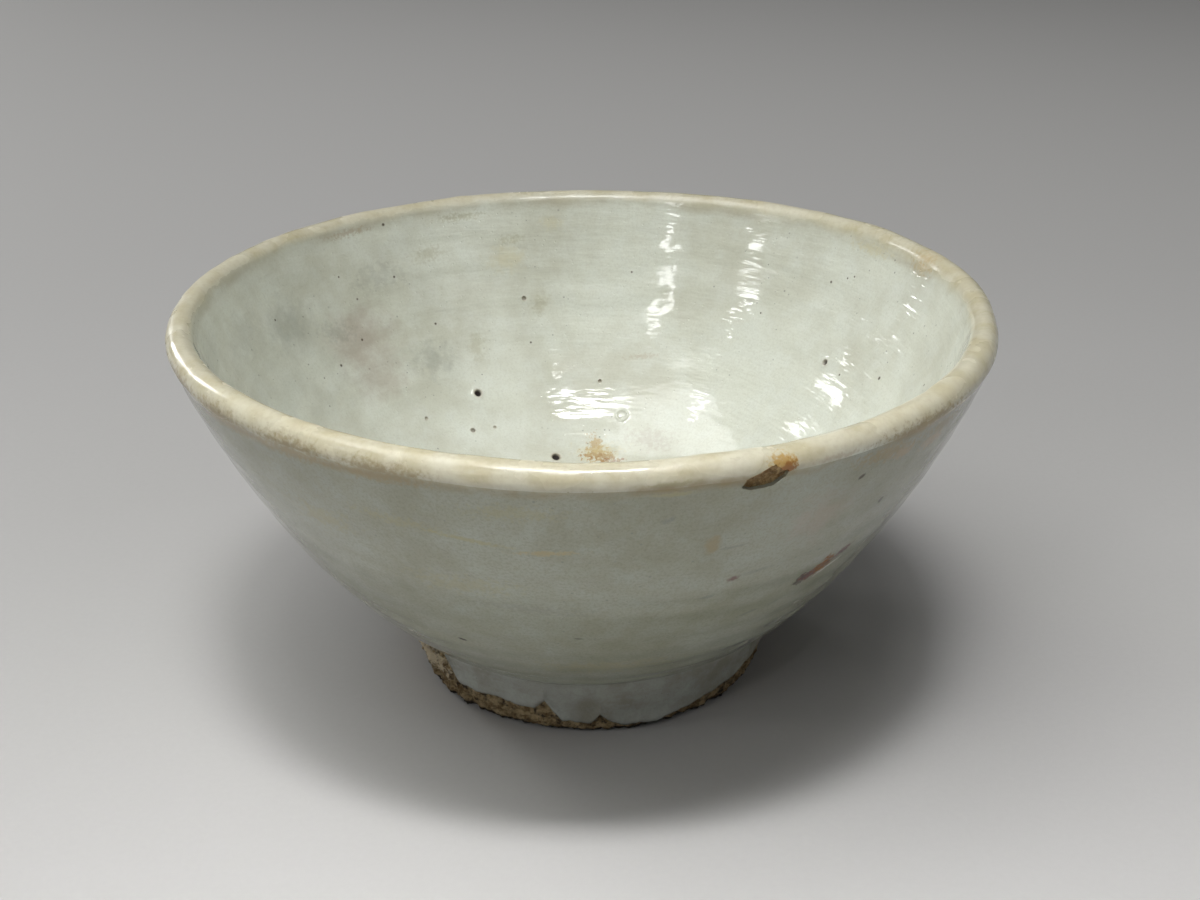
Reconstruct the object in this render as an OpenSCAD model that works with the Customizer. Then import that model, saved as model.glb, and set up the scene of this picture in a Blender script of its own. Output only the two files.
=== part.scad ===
// Tea bowl, thrown in one piece of clay, with a turned foot ring and a glaze coat.
// Millimetres, +Z up, the origin at the centre of the plane that the foot stands on.
// The two clay forms touch face to face, and each zone of the glaze is a thin shell
// that lies face to face on the clay.

/* [Bowl] */
// Outer diameter over the lip
rim_d = 150; // [142:1:158]
// Overall height
height = 74; // [70:1:79]
// Width of the glazed lip, which is a half round
lip_w = 4.9; // [4.3:0.1:5.5]
// Lean of the wall under the lip, from vertical, in degrees
lip_lean = 20; // [16:1:24]
// Height of the inside floor above the standing plane
floor_z = 17; // [16:0.5:18]

/* [Foot ring] */
// Outer diameter of the foot where it stands
foot_d = 68; // [64:1:70]
// Outer diameter of the foot where it meets the wall
foot_top_d = 75; // [73:1:77]
// Height of the foot on the outside
foot_h = 12.5; // [11.5:0.5:13.5]
// Width of the ring's standing face
foot_ring_w = 5; // [4:0.5:6]
// Depth of the recess inside the ring
recess_h = 9; // [8:0.5:10]

/* [Glaze] */
// Thickness of the glaze coat
glaze_t = 0.6; // [0.4:0.1:0.8]
// Height of the bare clay band at the bottom of the foot
bare_h = 3.5; // [2:0.5:5]

/* [Wear] */
// Width of the chip in the lip
lip_chip_w = 8.5; // [4:0.5:10]
// Place of the lip chip round the bowl, in degrees from +X
lip_chip_angle = -70; // [-180:1:180]
// Width of the chip in the foot
foot_chip_w = 13; // [6:0.5:14]
// Place of the foot chip round the bowl, in degrees from +X
foot_chip_angle = -150; // [-180:1:180]

/* [Hidden] */
$fn = 144;

clay_colour = [0.66, 0.54, 0.38];
inner_colour = [0.80, 0.82, 0.76];
lip_colour = [0.86, 0.82, 0.70];
outer_colour = [0.70, 0.72, 0.66];
foot_colour = [0.70, 0.74, 0.74];

wall_steps = 24;         // straight steps in each wall curve
lip_steps = 12;          // steps in the lip's half round
lip_r = lip_w / 2;
lip_centre = [rim_d / 2 - lip_r, height - lip_r];

// Where the two foot forms meet, and the round edges of the ring.
foot_top_r = foot_top_d / 2;
foot_r = foot_d / 2;
foot_edge = 0.8;         // chamfer at the ring's standing face
foot_draft = (foot_top_r - foot_r) / foot_h;   // how far the side leans out per mm
ring_inner_r = foot_r - foot_edge - foot_ring_w;
recess_draft = 0.12;     // how far the recess closes per mm of its depth
recess_top_r = ring_inner_r - recess_draft * recess_h;
recess_rise = 0.8;       // the recess ceiling is this much higher at its middle

// The outside of the wall leaves the foot at this slope, in degrees from level. The pulls
// set how long each wall curve keeps its direction at its ends.
foot_slope = 39.5;
outer_pull_low = 23;
outer_pull_high = 20.5;
inner_pull_high = 38;
inner_floor_r = 44;      // the inside wall turns towards the floor inside this radius

chip_r = 9;              // radius of the round hollow that a chip leaves
lip_chip_dip = 15;       // the lip chip's middle is this far below the lip's widest point, in degrees
foot_chip_tilt = 20;     // the foot chip is cut downwards from level by this angle

// A point of a cubic curve, and the unit normal on its left side.
function curve_point(p, t) =
    pow(1 - t, 3) * p[0] + 3 * pow(1 - t, 2) * t * p[1]
    + 3 * (1 - t) * t * t * p[2] + pow(t, 3) * p[3];
function curve_slope(p, t) =
    pow(1 - t, 2) * (p[1] - p[0]) + 2 * (1 - t) * t * (p[2] - p[1]) + t * t * (p[3] - p[2]);
function left_normal(v) = [-v[1], v[0]] / norm(v);

// The same curve moved sideways by d, to its left, as wall_steps + 1 points.
function moved_curve(p, d) =
    [for (i = [0 : wall_steps])
        let (t = i / wall_steps) curve_point(p, t) + d * left_normal(curve_slope(p, t))];

// An arc of the lip, of radius r, between two angles.
function lip_arc(r, from, to) =
    [for (i = [0 : lip_steps])
        let (a = from + (to - from) * i / lip_steps) lip_centre + r * [cos(a), sin(a)]];

lip_start = lip_centre + lip_r * [cos(lip_lean), -sin(lip_lean)];
lip_end = lip_centre + lip_r * [-cos(lip_lean), sin(lip_lean)];
wall_rise = [sin(lip_lean), cos(lip_lean)];

// Glazed surfaces: the outside runs up from the foot, and the inside runs down to the floor.
outside = [
    [foot_top_r, foot_h],
    [foot_top_r, foot_h] + outer_pull_low * [cos(foot_slope), sin(foot_slope)],
    lip_start - outer_pull_high * wall_rise,
    lip_start
];
inside = [
    lip_end,
    lip_end - inner_pull_high * wall_rise,
    [inner_floor_r, floor_z],
    [0, floor_z]
];

function reversed(list) = [for (i = [len(list) - 1 : -1 : 0]) list[i]];
function without_last(list) = [for (i = [0 : len(list) - 2]) list[i]];

// The foot's outside at a height z, glazed (d = 0) or bare (d = glaze_t).
function foot_side(z, d) = [foot_r + foot_draft * z - d, z];
// The recess wall at a height z, with its glaze on the side of the hollow.
function recess_side(z, d) = [ring_inner_r - recess_draft * z - d, z];
// The recess ceiling, as points from the middle outwards.
ceiling_steps = 8;
function ceiling(z, r, rise) =
    [for (i = [0 : ceiling_steps])
        let (s = i / ceiling_steps) [r * s, z + rise * (1 - s * s)]];

outside_clay = moved_curve(outside, glaze_t);
inside_clay = moved_curve(inside, glaze_t);
clay_foot_top = foot_side(recess_h, glaze_t);

// Thrown wall and floor, down to the plane of the recess ceiling.
module bowl_wall() {
    color(clay_colour)
    difference() {
        rotate_extrude()
        polygon(concat(
            ceiling(recess_h, recess_top_r, recess_rise),
            [clay_foot_top],
            without_last(outside_clay),
            without_last(lip_arc(lip_r - glaze_t, -lip_lean, 180 - lip_lean)),
            inside_clay));
        lip_chip();
    }
}

// Turned ring that the bowl stands on.
module foot_ring() {
    color(clay_colour)
    difference() {
        rotate_extrude()
        polygon([
            [ring_inner_r, foot_edge / 2],
            [ring_inner_r + foot_edge / 2, 0],
            [foot_r - glaze_t - foot_edge, 0],
            foot_side(foot_edge, glaze_t),
            clay_foot_top,
            [recess_top_r, recess_h]
        ]);
        foot_chip();
    }
}

module inner_glaze() {
    color(inner_colour)
    rotate_extrude()
    polygon(concat(moved_curve(inside, 0), reversed(inside_clay)));
}

module lip_glaze() {
    color(lip_colour)
    difference() {
        rotate_extrude()
        polygon(concat(
            lip_arc(lip_r, -lip_lean, 180 - lip_lean),
            reversed(lip_arc(lip_r - glaze_t, -lip_lean, 180 - lip_lean))));
        lip_chip();
    }
}

module outer_glaze() {
    color(outer_colour)
    difference() {
        rotate_extrude()
        polygon(concat(moved_curve(outside, 0), reversed(outside_clay)));
        lip_chip();
    }
}

// Glaze down the side of the foot, ending above the bare clay.
module foot_glaze() {
    color(foot_colour)
    difference() {
        rotate_extrude()
        polygon([
            foot_side(bare_h, 0),
            [foot_top_r, foot_h],
            outside_clay[0],
            clay_foot_top,
            foot_side(bare_h, glaze_t)
        ]);
        foot_chip();
    }
}

// Glaze in the recess: its ceiling and the inner side of the ring.
module recess_glaze() {
    color(foot_colour)
    rotate_extrude()
    polygon(concat(
        ceiling(recess_h, recess_top_r, recess_rise),
        [recess_side(bare_h, 0), recess_side(bare_h, glaze_t)],
        reversed(ceiling(recess_h - glaze_t, recess_top_r - glaze_t, recess_rise))));
}

// A round hollow of the given width, cut into the surface at its middle, a point [r, z].
module chip(width, angle, middle, tilt) {
    stand_off = sqrt(chip_r * chip_r - width * width / 4);
    rotate([0, 0, angle])
    translate([middle[0], 0, middle[1]])
    rotate([0, tilt, 0])
    translate([stand_off, 0, 0])
    sphere(r = chip_r);
}

module lip_chip() {
    middle = lip_centre + lip_r * [cos(lip_chip_dip), -sin(lip_chip_dip)];
    chip(lip_chip_w, lip_chip_angle, middle, lip_chip_dip);
}

module foot_chip() {
    chip(foot_chip_w, foot_chip_angle, foot_side(bare_h, 0), foot_chip_tilt);
}

bowl_wall();
foot_ring();
inner_glaze();
lip_glaze();
outer_glaze();
foot_glaze();
recess_glaze();
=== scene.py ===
"""A thrown and glazed tea bowl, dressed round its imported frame.

The clay and the glaze are laid out on one surface that runs from the foot up the outside, over
the lip and down the inside. A point of it is given by its turn, the angle round the bowl, and
its path, the distance along the wall in millimetres. The potter's unevenness, the pinholes and
the chips are all moves of that surface, so neighbouring zones of glaze meet without a seam.
"""

import itertools
import logging
import math
from collections.abc import Callable
from dataclasses import dataclass
from enum import Enum
from functools import cached_property

import bmesh
import bpy
import numpy as np
from mathutils import Matrix, Vector


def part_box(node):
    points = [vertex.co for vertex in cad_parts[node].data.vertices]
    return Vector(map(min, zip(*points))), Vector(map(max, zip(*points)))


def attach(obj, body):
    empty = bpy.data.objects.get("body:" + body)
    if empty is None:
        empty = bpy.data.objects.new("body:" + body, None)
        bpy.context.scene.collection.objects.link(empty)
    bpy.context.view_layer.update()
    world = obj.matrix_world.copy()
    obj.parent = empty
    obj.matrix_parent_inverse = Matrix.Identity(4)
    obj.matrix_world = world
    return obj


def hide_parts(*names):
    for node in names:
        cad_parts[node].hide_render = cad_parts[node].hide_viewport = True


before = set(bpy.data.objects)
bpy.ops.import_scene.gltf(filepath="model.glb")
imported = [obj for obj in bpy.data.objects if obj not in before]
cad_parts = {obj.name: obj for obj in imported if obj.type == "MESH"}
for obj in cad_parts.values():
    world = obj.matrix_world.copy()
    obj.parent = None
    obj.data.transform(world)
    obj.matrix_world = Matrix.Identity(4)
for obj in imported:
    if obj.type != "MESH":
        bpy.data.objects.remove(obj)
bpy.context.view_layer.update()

LOG = logging.getLogger("tea_bowl")
Array = np.ndarray
Colour = tuple[float, float, float, float]
Piece = bpy.types.Object

MM = 0.001
FULL_TURN = 2 * math.pi
GLAZE_THICKNESS = 0.6
BODY = "root"


def ease(low: float, high: float, value: Array) -> Array:
    """Rise smoothly from 0 at low to 1 at high.

    Args:
        low: the value where the rise starts.
        high: the value where it ends, which may be below low.
        value: the values to look up.

    Returns:
        The eased shares, between 0 and 1.
    """
    share = np.clip((value - low) / (high - low), 0.0, 1.0)
    return share * share * (3.0 - 2.0 * share)


def hump(distance: Array, width: float) -> Array:
    """Give a soft hump, 1 at no distance and nearly 0 beyond twice the width."""
    return np.exp(-((distance / width) ** 2))


def turn_gap(turn: Array, degrees: float) -> Array:
    """Give the signed angle in degrees from an azimuth to each turn, the short way round."""
    return (np.degrees(turn) - degrees + 180.0) % 360.0 - 180.0


def ring_points(radius: Array | float, turn: Array, height: Array) -> Array:
    """Give the places at a radius, a turn and a height, one a row."""
    return np.column_stack([radius * np.cos(turn), radius * np.sin(turn), height])


def rolled(share: Array) -> Array:
    """Rise from 0 to 1 as the side of a round does, over shares of its width."""
    return np.sqrt(np.clip(1.0 - (1.0 - np.clip(share, 0.0, 1.0)) ** 2, 0.0, 1.0))


def unit(vectors: Array) -> Array:
    """Bring vectors, one a row, to length 1."""
    return vectors / np.maximum(np.linalg.norm(vectors, axis=1, keepdims=True), 1e-9)


def facing(surface: Callable[[Array, Array], Array], turn: Array, along: Array,
           swing: Array | float, reach: float, end: float) -> Array:
    """Work out which way a surface faces, by small steps each way.

    Args:
        surface: gives the surface's places from a turn and a distance along it.
        turn: angles round the bowl, in radians.
        along: distances along the surface.
        swing: the step round the bowl, in radians.
        reach: the step along the surface.
        end: the largest distance along it.

    Returns:
        The normals, of any length.
    """
    round_step = surface(turn + swing, along) - surface(turn - swing, along)
    low, high = np.clip(along - reach, 0.0, None), np.clip(along + reach, None, end)
    return np.cross(round_step, surface(turn, high) - surface(turn, low))


@dataclass(frozen=True)
class Grain:
    """Smooth random relief in space, the same on every run.

    Attributes:
        size: the distance between its bumps, in millimetres.
        seed: which relief it is.
        layers: how many finer reliefs, each half the size and strength, are added.
    """

    size: float
    seed: int
    layers: int = 1

    @cached_property
    def _tables(self) -> tuple[Array, Array]:
        """Shuffle the lattice and draw a direction for each of its cells."""
        draw = np.random.default_rng(self.seed)
        order = draw.permutation(256)
        slopes = draw.normal(size=(256, 3))
        slopes /= np.linalg.norm(slopes, axis=1, keepdims=True)
        return order, slopes

    def _layer(self, points: Array) -> Array:
        """Evaluate one layer of relief at points counted in lattice cells."""
        order, slopes = self._tables
        cell = np.floor(points).astype(int)
        local = points - cell
        fade = local ** 3 * (local * (local * 6.0 - 15.0) + 10.0)
        total = np.zeros(len(points))
        for corner in itertools.product((0, 1), repeat=3):
            picked = order[(cell[:, 0] + corner[0]) & 255]
            picked = order[(picked + cell[:, 1] + corner[1]) & 255]
            picked = order[(picked + cell[:, 2] + corner[2]) & 255]
            weight = np.prod(np.where(corner, fade, 1.0 - fade), axis=1)
            total += weight * np.einsum("ij,ij->i", local - corner, slopes[picked])
        return 1.5 * total

    def at(self, points: Array, stretch: tuple[float, float, float] = (1, 1, 1)) -> Array:
        """Evaluate the relief.

        Args:
            points: places in millimetres, one a row.
            stretch: how many times longer the bumps are along X, Y and Z.

        Returns:
            One value a point, mostly between -1 and 1.
        """
        scaled = points / (self.size * np.array(stretch, float)) + 0.37 * self.seed
        total = np.zeros(len(points))
        for layer in range(self.layers):
            total += self._layer(scaled * 2.0 ** layer) / 2.0 ** layer
        return total


class Outline:
    """A section of a thrown form: a line of radii and heights, measured along its length."""

    def __init__(self, line: Array) -> None:
        """Measure the line and work out its normals.

        Args:
            line: radii and heights in millimetres, with the solid on the left of the way along.
        """
        steps = np.linalg.norm(np.diff(line, axis=0), axis=1)
        line = line[np.concatenate([[True], steps > 1e-6])]
        steps = np.linalg.norm(np.diff(line, axis=0), axis=1)
        self.path = np.concatenate([[0.0], np.cumsum(steps)])
        self.line = line
        along = np.gradient(line, self.path, axis=0)
        along /= np.linalg.norm(along, axis=1, keepdims=True)
        self.columns = (line[:, 0], line[:, 1], along[:, 1], -along[:, 0])

    @property
    def length(self) -> float:
        """Give the length of the whole line."""
        return float(self.path[-1])

    def at(self, path: Array) -> tuple[Array, Array, Array, Array]:
        """Look up the line.

        Args:
            path: distances along it.

        Returns:
            The radius, the height, and the outward normal's radial and upward parts.
        """
        return tuple(np.interp(path, self.path, column) for column in self.columns)

    def nearest(self, radius: float, height: float) -> float:
        """Give the path of the line's point that is nearest to a place."""
        gaps = np.hypot(self.line[:, 0] - radius, self.line[:, 1] - height)
        return float(self.path[np.argmin(gaps)])


def curve(*pulls: Array) -> Array:
    """Give 1500 points of the cubic curve with the four given points."""
    t = np.linspace(0.0, 1.0, 1500)[:, None]
    first, second, third, last = (np.asarray(pull, float) for pull in pulls)
    return ((1 - t) ** 3 * first + 3 * (1 - t) ** 2 * t * second
            + 3 * (1 - t) * t * t * third + t ** 3 * last)


def rounded_line(corners: list[tuple[float, float, float]]) -> Array:
    """Join corners by straight lines and round each one off.

    Args:
        corners: the radius, the height and the rounding of each corner, in millimetres.

    Returns:
        The line's points.
    """
    places = [np.array(corner[:2]) for corner in corners]
    pieces = [places[0][None, :]]
    for before, here, after, corner in zip(places, places[1:], places[2:], corners[1:]):
        back = (before - here) / np.linalg.norm(before - here)
        on = (after - here) / np.linalg.norm(after - here)
        start, end = here + corner[2] * back, here + corner[2] * on
        t = np.linspace(0.0, 1.0, 24)[:, None]
        pieces.append((1 - t) ** 2 * start + 2 * (1 - t) * t * here + t * t * end)
    pieces.append(places[-1][None, :])
    rough = np.vstack(pieces)
    length = np.concatenate([[0.0], np.cumsum(np.linalg.norm(np.diff(rough, axis=0), axis=1))])
    even = np.unique(np.concatenate([length, np.arange(0.0, length[-1], 0.1)]))
    return np.column_stack([np.interp(even, length, rough[:, i]) for i in range(2)])


@dataclass(frozen=True)
class Wave:
    """A slow wave round the bowl, from drying and firing out of true."""

    lobes: int
    size: float
    azimuth: float

    def at(self, turn: Array) -> Array:
        """Give its height in millimetres at each turn."""
        return self.size * np.cos(self.lobes * turn - math.radians(self.azimuth))


class Side(Enum):
    """Which face of the wall a mark is on."""

    INSIDE = "inside"
    OUTSIDE = "outside"
    LIP = "lip"


@dataclass(frozen=True)
class Pit:
    """A pinhole that a gas bubble left in the glaze inside the bowl.

    Attributes:
        azimuth: its place round the bowl, in degrees from +X.
        radius: its distance from the axis, in millimetres.
        width: its width at the mouth, in millimetres.
    """

    azimuth: float
    radius: float
    width: float


@dataclass(frozen=True)
class Chip:
    """A break in the lip, down to the clay.

    Attributes:
        azimuth: its middle, in degrees from +X.
        below: its middle, in millimetres down the wall from the edge of the lip's round.
        across: its half width round the bowl, in millimetres.
        tall: its half height along the wall, in millimetres.
        depth: how deep the hollow is below the clay's surface, in millimetres.
    """

    azimuth: float
    below: float
    across: float
    tall: float
    depth: float


@dataclass
class BowlForm:
    """The glazed surface of the bowl, from the foot over the lip to the middle of the floor.

    Sizes are in millimetres and angles in degrees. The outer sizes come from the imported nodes.

    Attributes:
        lip_lean: how far the lip's half round is tipped outward.
        foot_slope: how steeply the wall leaves the foot.
        outer_pulls: how far the outside wall keeps its direction at the foot, and at the lip.
        inner_pull: how far the inside wall keeps its direction below the lip.
        inner_turn_radius: where the inside wall turns into the level floor.
        rim_shift: how far the rim has slid along X.
        outer_ring_gap: the distance between the throwing rings outside.
        inner_ring_gap: the distance between the throwing rings inside.
        wall_swell: how much the inside wall swells low down on the right.
        rim_waves: how the rim is out of round.
        height_waves: how the rim is out of level.
        rim_dents: local rises and dips of the rim, as azimuth, half width and rise.
        pits: the pinholes in the inside glaze.
        blister: the closed bubble in the inside glaze.
        chip: the break in the lip.
    """

    lip_lean: float = 20.0
    foot_slope: float = 39.5
    outer_pulls: tuple[float, float] = (23.0, 20.5)
    inner_pull: float = 38.0
    inner_turn_radius: float = 44.0
    rim_shift: float = -1.15
    outer_ring_gap: float = 6.6
    inner_ring_gap: float = 8.4
    wall_swell: float = 2.0
    rim_waves: tuple[Wave, ...] = (Wave(2, 0.35, -111.0), Wave(3, 0.12, 95.0))
    height_waves: tuple[Wave, ...] = (Wave(1, 0.12, 43.0), Wave(2, 0.42, 43.0), Wave(3, 0.17, 40.0))
    rim_dents: tuple[tuple[float, float, float], ...] = (
        (-137.0, 17.0, 0.28), (-92.0, 10.0, -0.26), (-76.0, 2.2, 0.24), (-70.0, 5.0, 0.12))
    pits: tuple[Pit, ...] = (
        Pit(118.2, 50.9, 2.0), Pit(101.1, 36.1, 2.2), Pit(29.9, 59.4, 1.5), Pit(102.8, 61.9, 1.1),
        Pit(123.7, 45.0, 1.2), Pit(134.6, 49.3, 0.9), Pit(117.1, 44.6, 0.8), Pit(86.5, 51.1, 0.9))
    blister: Pit = Pit(80.0, 45.3, 3.0)
    chip: Chip = Chip(-69.4, 0.7, 3.1, 2.1, 0.30)

    def __post_init__(self) -> None:
        """Read the outer sizes from the frame and lay out the path."""
        lip_low, lip_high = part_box("lip_glaze")
        foot_low, foot_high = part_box("foot_glaze")
        floor_low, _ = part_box("inner_glaze")
        lean = math.radians(self.lip_lean)
        self.rim_radius = lip_high.x / MM
        self.height = lip_high.z / MM
        self.lip_radius = (self.height - lip_low.z / MM) / (1.0 + math.sin(lean))
        self.foot_radius = foot_high.x / MM
        self.foot_height = foot_high.z / MM
        self.floor_height = floor_low.z / MM + GLAZE_THICKNESS
        self._lay_path(lean)

    def _lay_path(self, lean: float) -> None:
        """Join the two wall curves and the half-round lip into one line of points."""
        rise = np.array([math.sin(lean), math.cos(lean)])
        outward = np.array([math.cos(lean), -math.sin(lean)])
        slope = math.radians(self.foot_slope)
        centre = np.array([self.rim_radius - self.lip_radius, self.height - self.lip_radius])
        foot = np.array([self.foot_radius, self.foot_height])
        start, end = centre + self.lip_radius * outward, centre - self.lip_radius * outward
        low_pull, high_pull = self.outer_pulls
        outer = curve(
            foot, foot + low_pull * np.array([math.cos(slope), math.sin(slope)]),
            start - high_pull * rise, start)
        inner = curve(
            end, end - self.inner_pull * rise,
            (self.inner_turn_radius, self.floor_height), (0.0, self.floor_height))
        angles = np.linspace(-lean, math.pi - lean, 400)[1:-1]
        lip = centre + self.lip_radius * np.column_stack([np.cos(angles), np.sin(angles)])
        self.outline = Outline(np.vstack([outer, lip, inner]))
        self.lip_start = self.outline.path[len(outer) - 1]
        self.lip_end = self.outline.path[len(outer) + len(lip)]
        self.lip_top = 0.5 * (self.lip_start + self.lip_end)
        self.path_end = self.outline.length
        self.chip_path = self.lip_start - self.chip.below

    def inside_path(self, radius: float) -> float:
        """Give the path of the inside surface at a distance from the axis."""
        inner = self.outline.path > self.lip_end
        return float(np.interp(-radius, -self.outline.line[inner, 0], self.outline.path[inner]))

    def outside_path(self, height: float) -> float:
        """Give the path of the outside surface at a height."""
        outer = self.outline.path < self.lip_start
        return float(np.interp(height, self.outline.line[outer, 1], self.outline.path[outer]))

    def spots(self, turn: Array, path: Array) -> Array:
        """Give the points of the true surface, in millimetres."""
        radius, height, _, _ = self.outline.at(path)
        return ring_points(radius, turn, height)

    def place(self, azimuth: float, path: float) -> Array:
        """Give the point of the true surface at one azimuth and path."""
        return self.spots(np.array([math.radians(azimuth)]), np.array([path]))[0]

    def out_of_true(self, points: Array) -> Array:
        """Push points sideways and up as the bowl warped in drying and firing.

        Args:
            points: places on or near the wall, one a row.

        Returns:
            The moved places.
        """
        turn = np.arctan2(points[:, 1], points[:, 0])
        share = np.clip(points[:, 2] / self.height, 0.0, 1.0)
        radius = np.hypot(points[:, 0], points[:, 1])
        wider = sum(wave.at(turn) for wave in self.rim_waves) / self.rim_radius
        grow = 1.0 + share ** 1.5 * wider
        lift = share ** 3 * sum(wave.at(turn) for wave in self.height_waves)
        for azimuth, width, rise in self.rim_dents:
            lift = lift + share ** 8 * rise * hump(turn_gap(turn, azimuth), width)
        lift = lift * np.clip(radius / self.rim_radius, 0.0, 1.0)
        moved = points * np.column_stack([grow, grow, np.ones(len(points))])
        moved[:, 0] += share * self.rim_shift
        moved[:, 2] += lift
        return moved

    def unevenness(self, turn: Array, path: Array, spots: Array) -> Array:
        """Give how far the glaze stands proud of the true surface.

        Args:
            turn: angles round the bowl, in radians.
            path: distances along the wall.
            spots: the points of the true surface.

        Returns:
            The heights in millimetres, along the outward normal.
        """
        inside = ease(self.lip_start + 1.0, self.lip_end + 3.0, path)
        wobble = 1.6 * Grain(42.0, 3).at(spots)
        outer_rings = np.sin(FULL_TURN * path / self.outer_ring_gap + turn + 2.0 * wobble)
        inner_rings = np.sin(FULL_TURN * path / self.inner_ring_gap - turn + 2.4 * wobble)
        fade = 0.6 + 0.4 * Grain(30.0, 5).at(spots)
        outer = (0.06 * outer_rings * fade + 0.26 * Grain(30.0, 11).at(spots)
                 + 0.07 * Grain(7.0, 12, 2).at(spots))
        level = (2.6, 2.6, 1.0)
        inner = (0.07 * inner_rings * fade + 0.24 * Grain(26.0, 21).at(spots)
                 + 0.030 * Grain(3.0, 22).at(spots, level) + 0.10 * Grain(9.0, 23, 2).at(spots))
        swell = hump(path - self.lip_end - 37.0, 20.0) * hump(turn_gap(turn, 16.0), 34.0)
        inner = inner + self.wall_swell * swell
        lip_gap = path - self.lip_top
        bead = (0.20 + 0.16 * Grain(14.0, 31).at(spots)) * hump(lip_gap, 3.2)
        bead += 0.07 * Grain(4.5, 32, 2).at(spots) * hump(lip_gap, 5.0)
        groove = 0.10 * hump(path - (self.lip_start - 1.6), 1.1)
        return (1.0 - inside) * outer + inside * inner + bead - groove

    def pit_relief(self, spots: Array, path: Array) -> Array:
        """Give the relief of the pinholes and of the blister, which are all on the inside."""
        relief = np.zeros(len(spots))
        for pit in self.pits:
            gap = np.linalg.norm(spots - self.place(pit.azimuth, self.inside_path(pit.radius)), axis=1)
            gap = gap * (1.0 + 0.16 * Grain(0.9 * pit.width, 41).at(spots))
            half = 0.42 * pit.width
            bowl = np.sqrt(np.clip(1.0 - (gap / half) ** 2, 0.0, 1.0))
            relief -= min(0.5 * pit.width, 0.85 * GLAZE_THICKNESS) * bowl
            relief += 0.06 * pit.width * hump(gap - 1.35 * half, 0.5 * half)
        gap = np.linalg.norm(
            spots - self.place(self.blister.azimuth, self.inside_path(self.blister.radius)), axis=1)
        ring = hump(gap - 0.42 * self.blister.width, 0.30)
        relief += 0.22 * ring - 0.10 * hump(gap, 0.35 * self.blister.width)
        return np.where(path > self.lip_end, relief, 0.0)

    def chip_share(self, turn: Array, path: Array, spots: Array) -> Array:
        """Give how far inside the lip chip each place is, above 0 where the clay is bare."""
        chip = self.chip
        across = np.radians(turn_gap(turn, chip.azimuth)) * self.rim_radius
        along = path - self.chip_path
        slant = across - 0.35 * along
        gap = np.hypot(slant / chip.across, along / chip.tall)
        return 1.0 - gap + 0.28 * Grain(1.9, 51, 2).at(spots)

    def points(self, turn: Array, path: Array, depth: Array | float = 0.0,
               pitted: bool = True) -> Array:
        """Give the finished surface, or one at a depth below it.

        Args:
            turn: angles round the bowl, in radians.
            path: distances along the wall.
            depth: how far below the glaze's surface, in millimetres.
            pitted: whether the pinholes are in it.

        Returns:
            The places in millimetres, one a row.
        """
        radius, height, normal_out, normal_up = self.outline.at(path)
        spots = self.spots(turn, path)
        proud = self.unevenness(turn, path, spots) - depth
        if pitted:
            proud = proud + self.pit_relief(spots, path)
        return self.out_of_true(ring_points(radius + proud * normal_out, turn, height + proud * normal_up))

    def normals(self, turn: Array, path: Array) -> Array:
        """Give the finished surface's outward unit normals."""
        radius, _, _, _ = self.outline.at(path)
        reach = 0.15
        normal = facing(self.points, turn, path, reach / np.maximum(radius, 1.0), reach, self.path_end)
        normal[radius < 1.0] = (0.0, 0.0, 1.0)
        return unit(normal)


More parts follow.
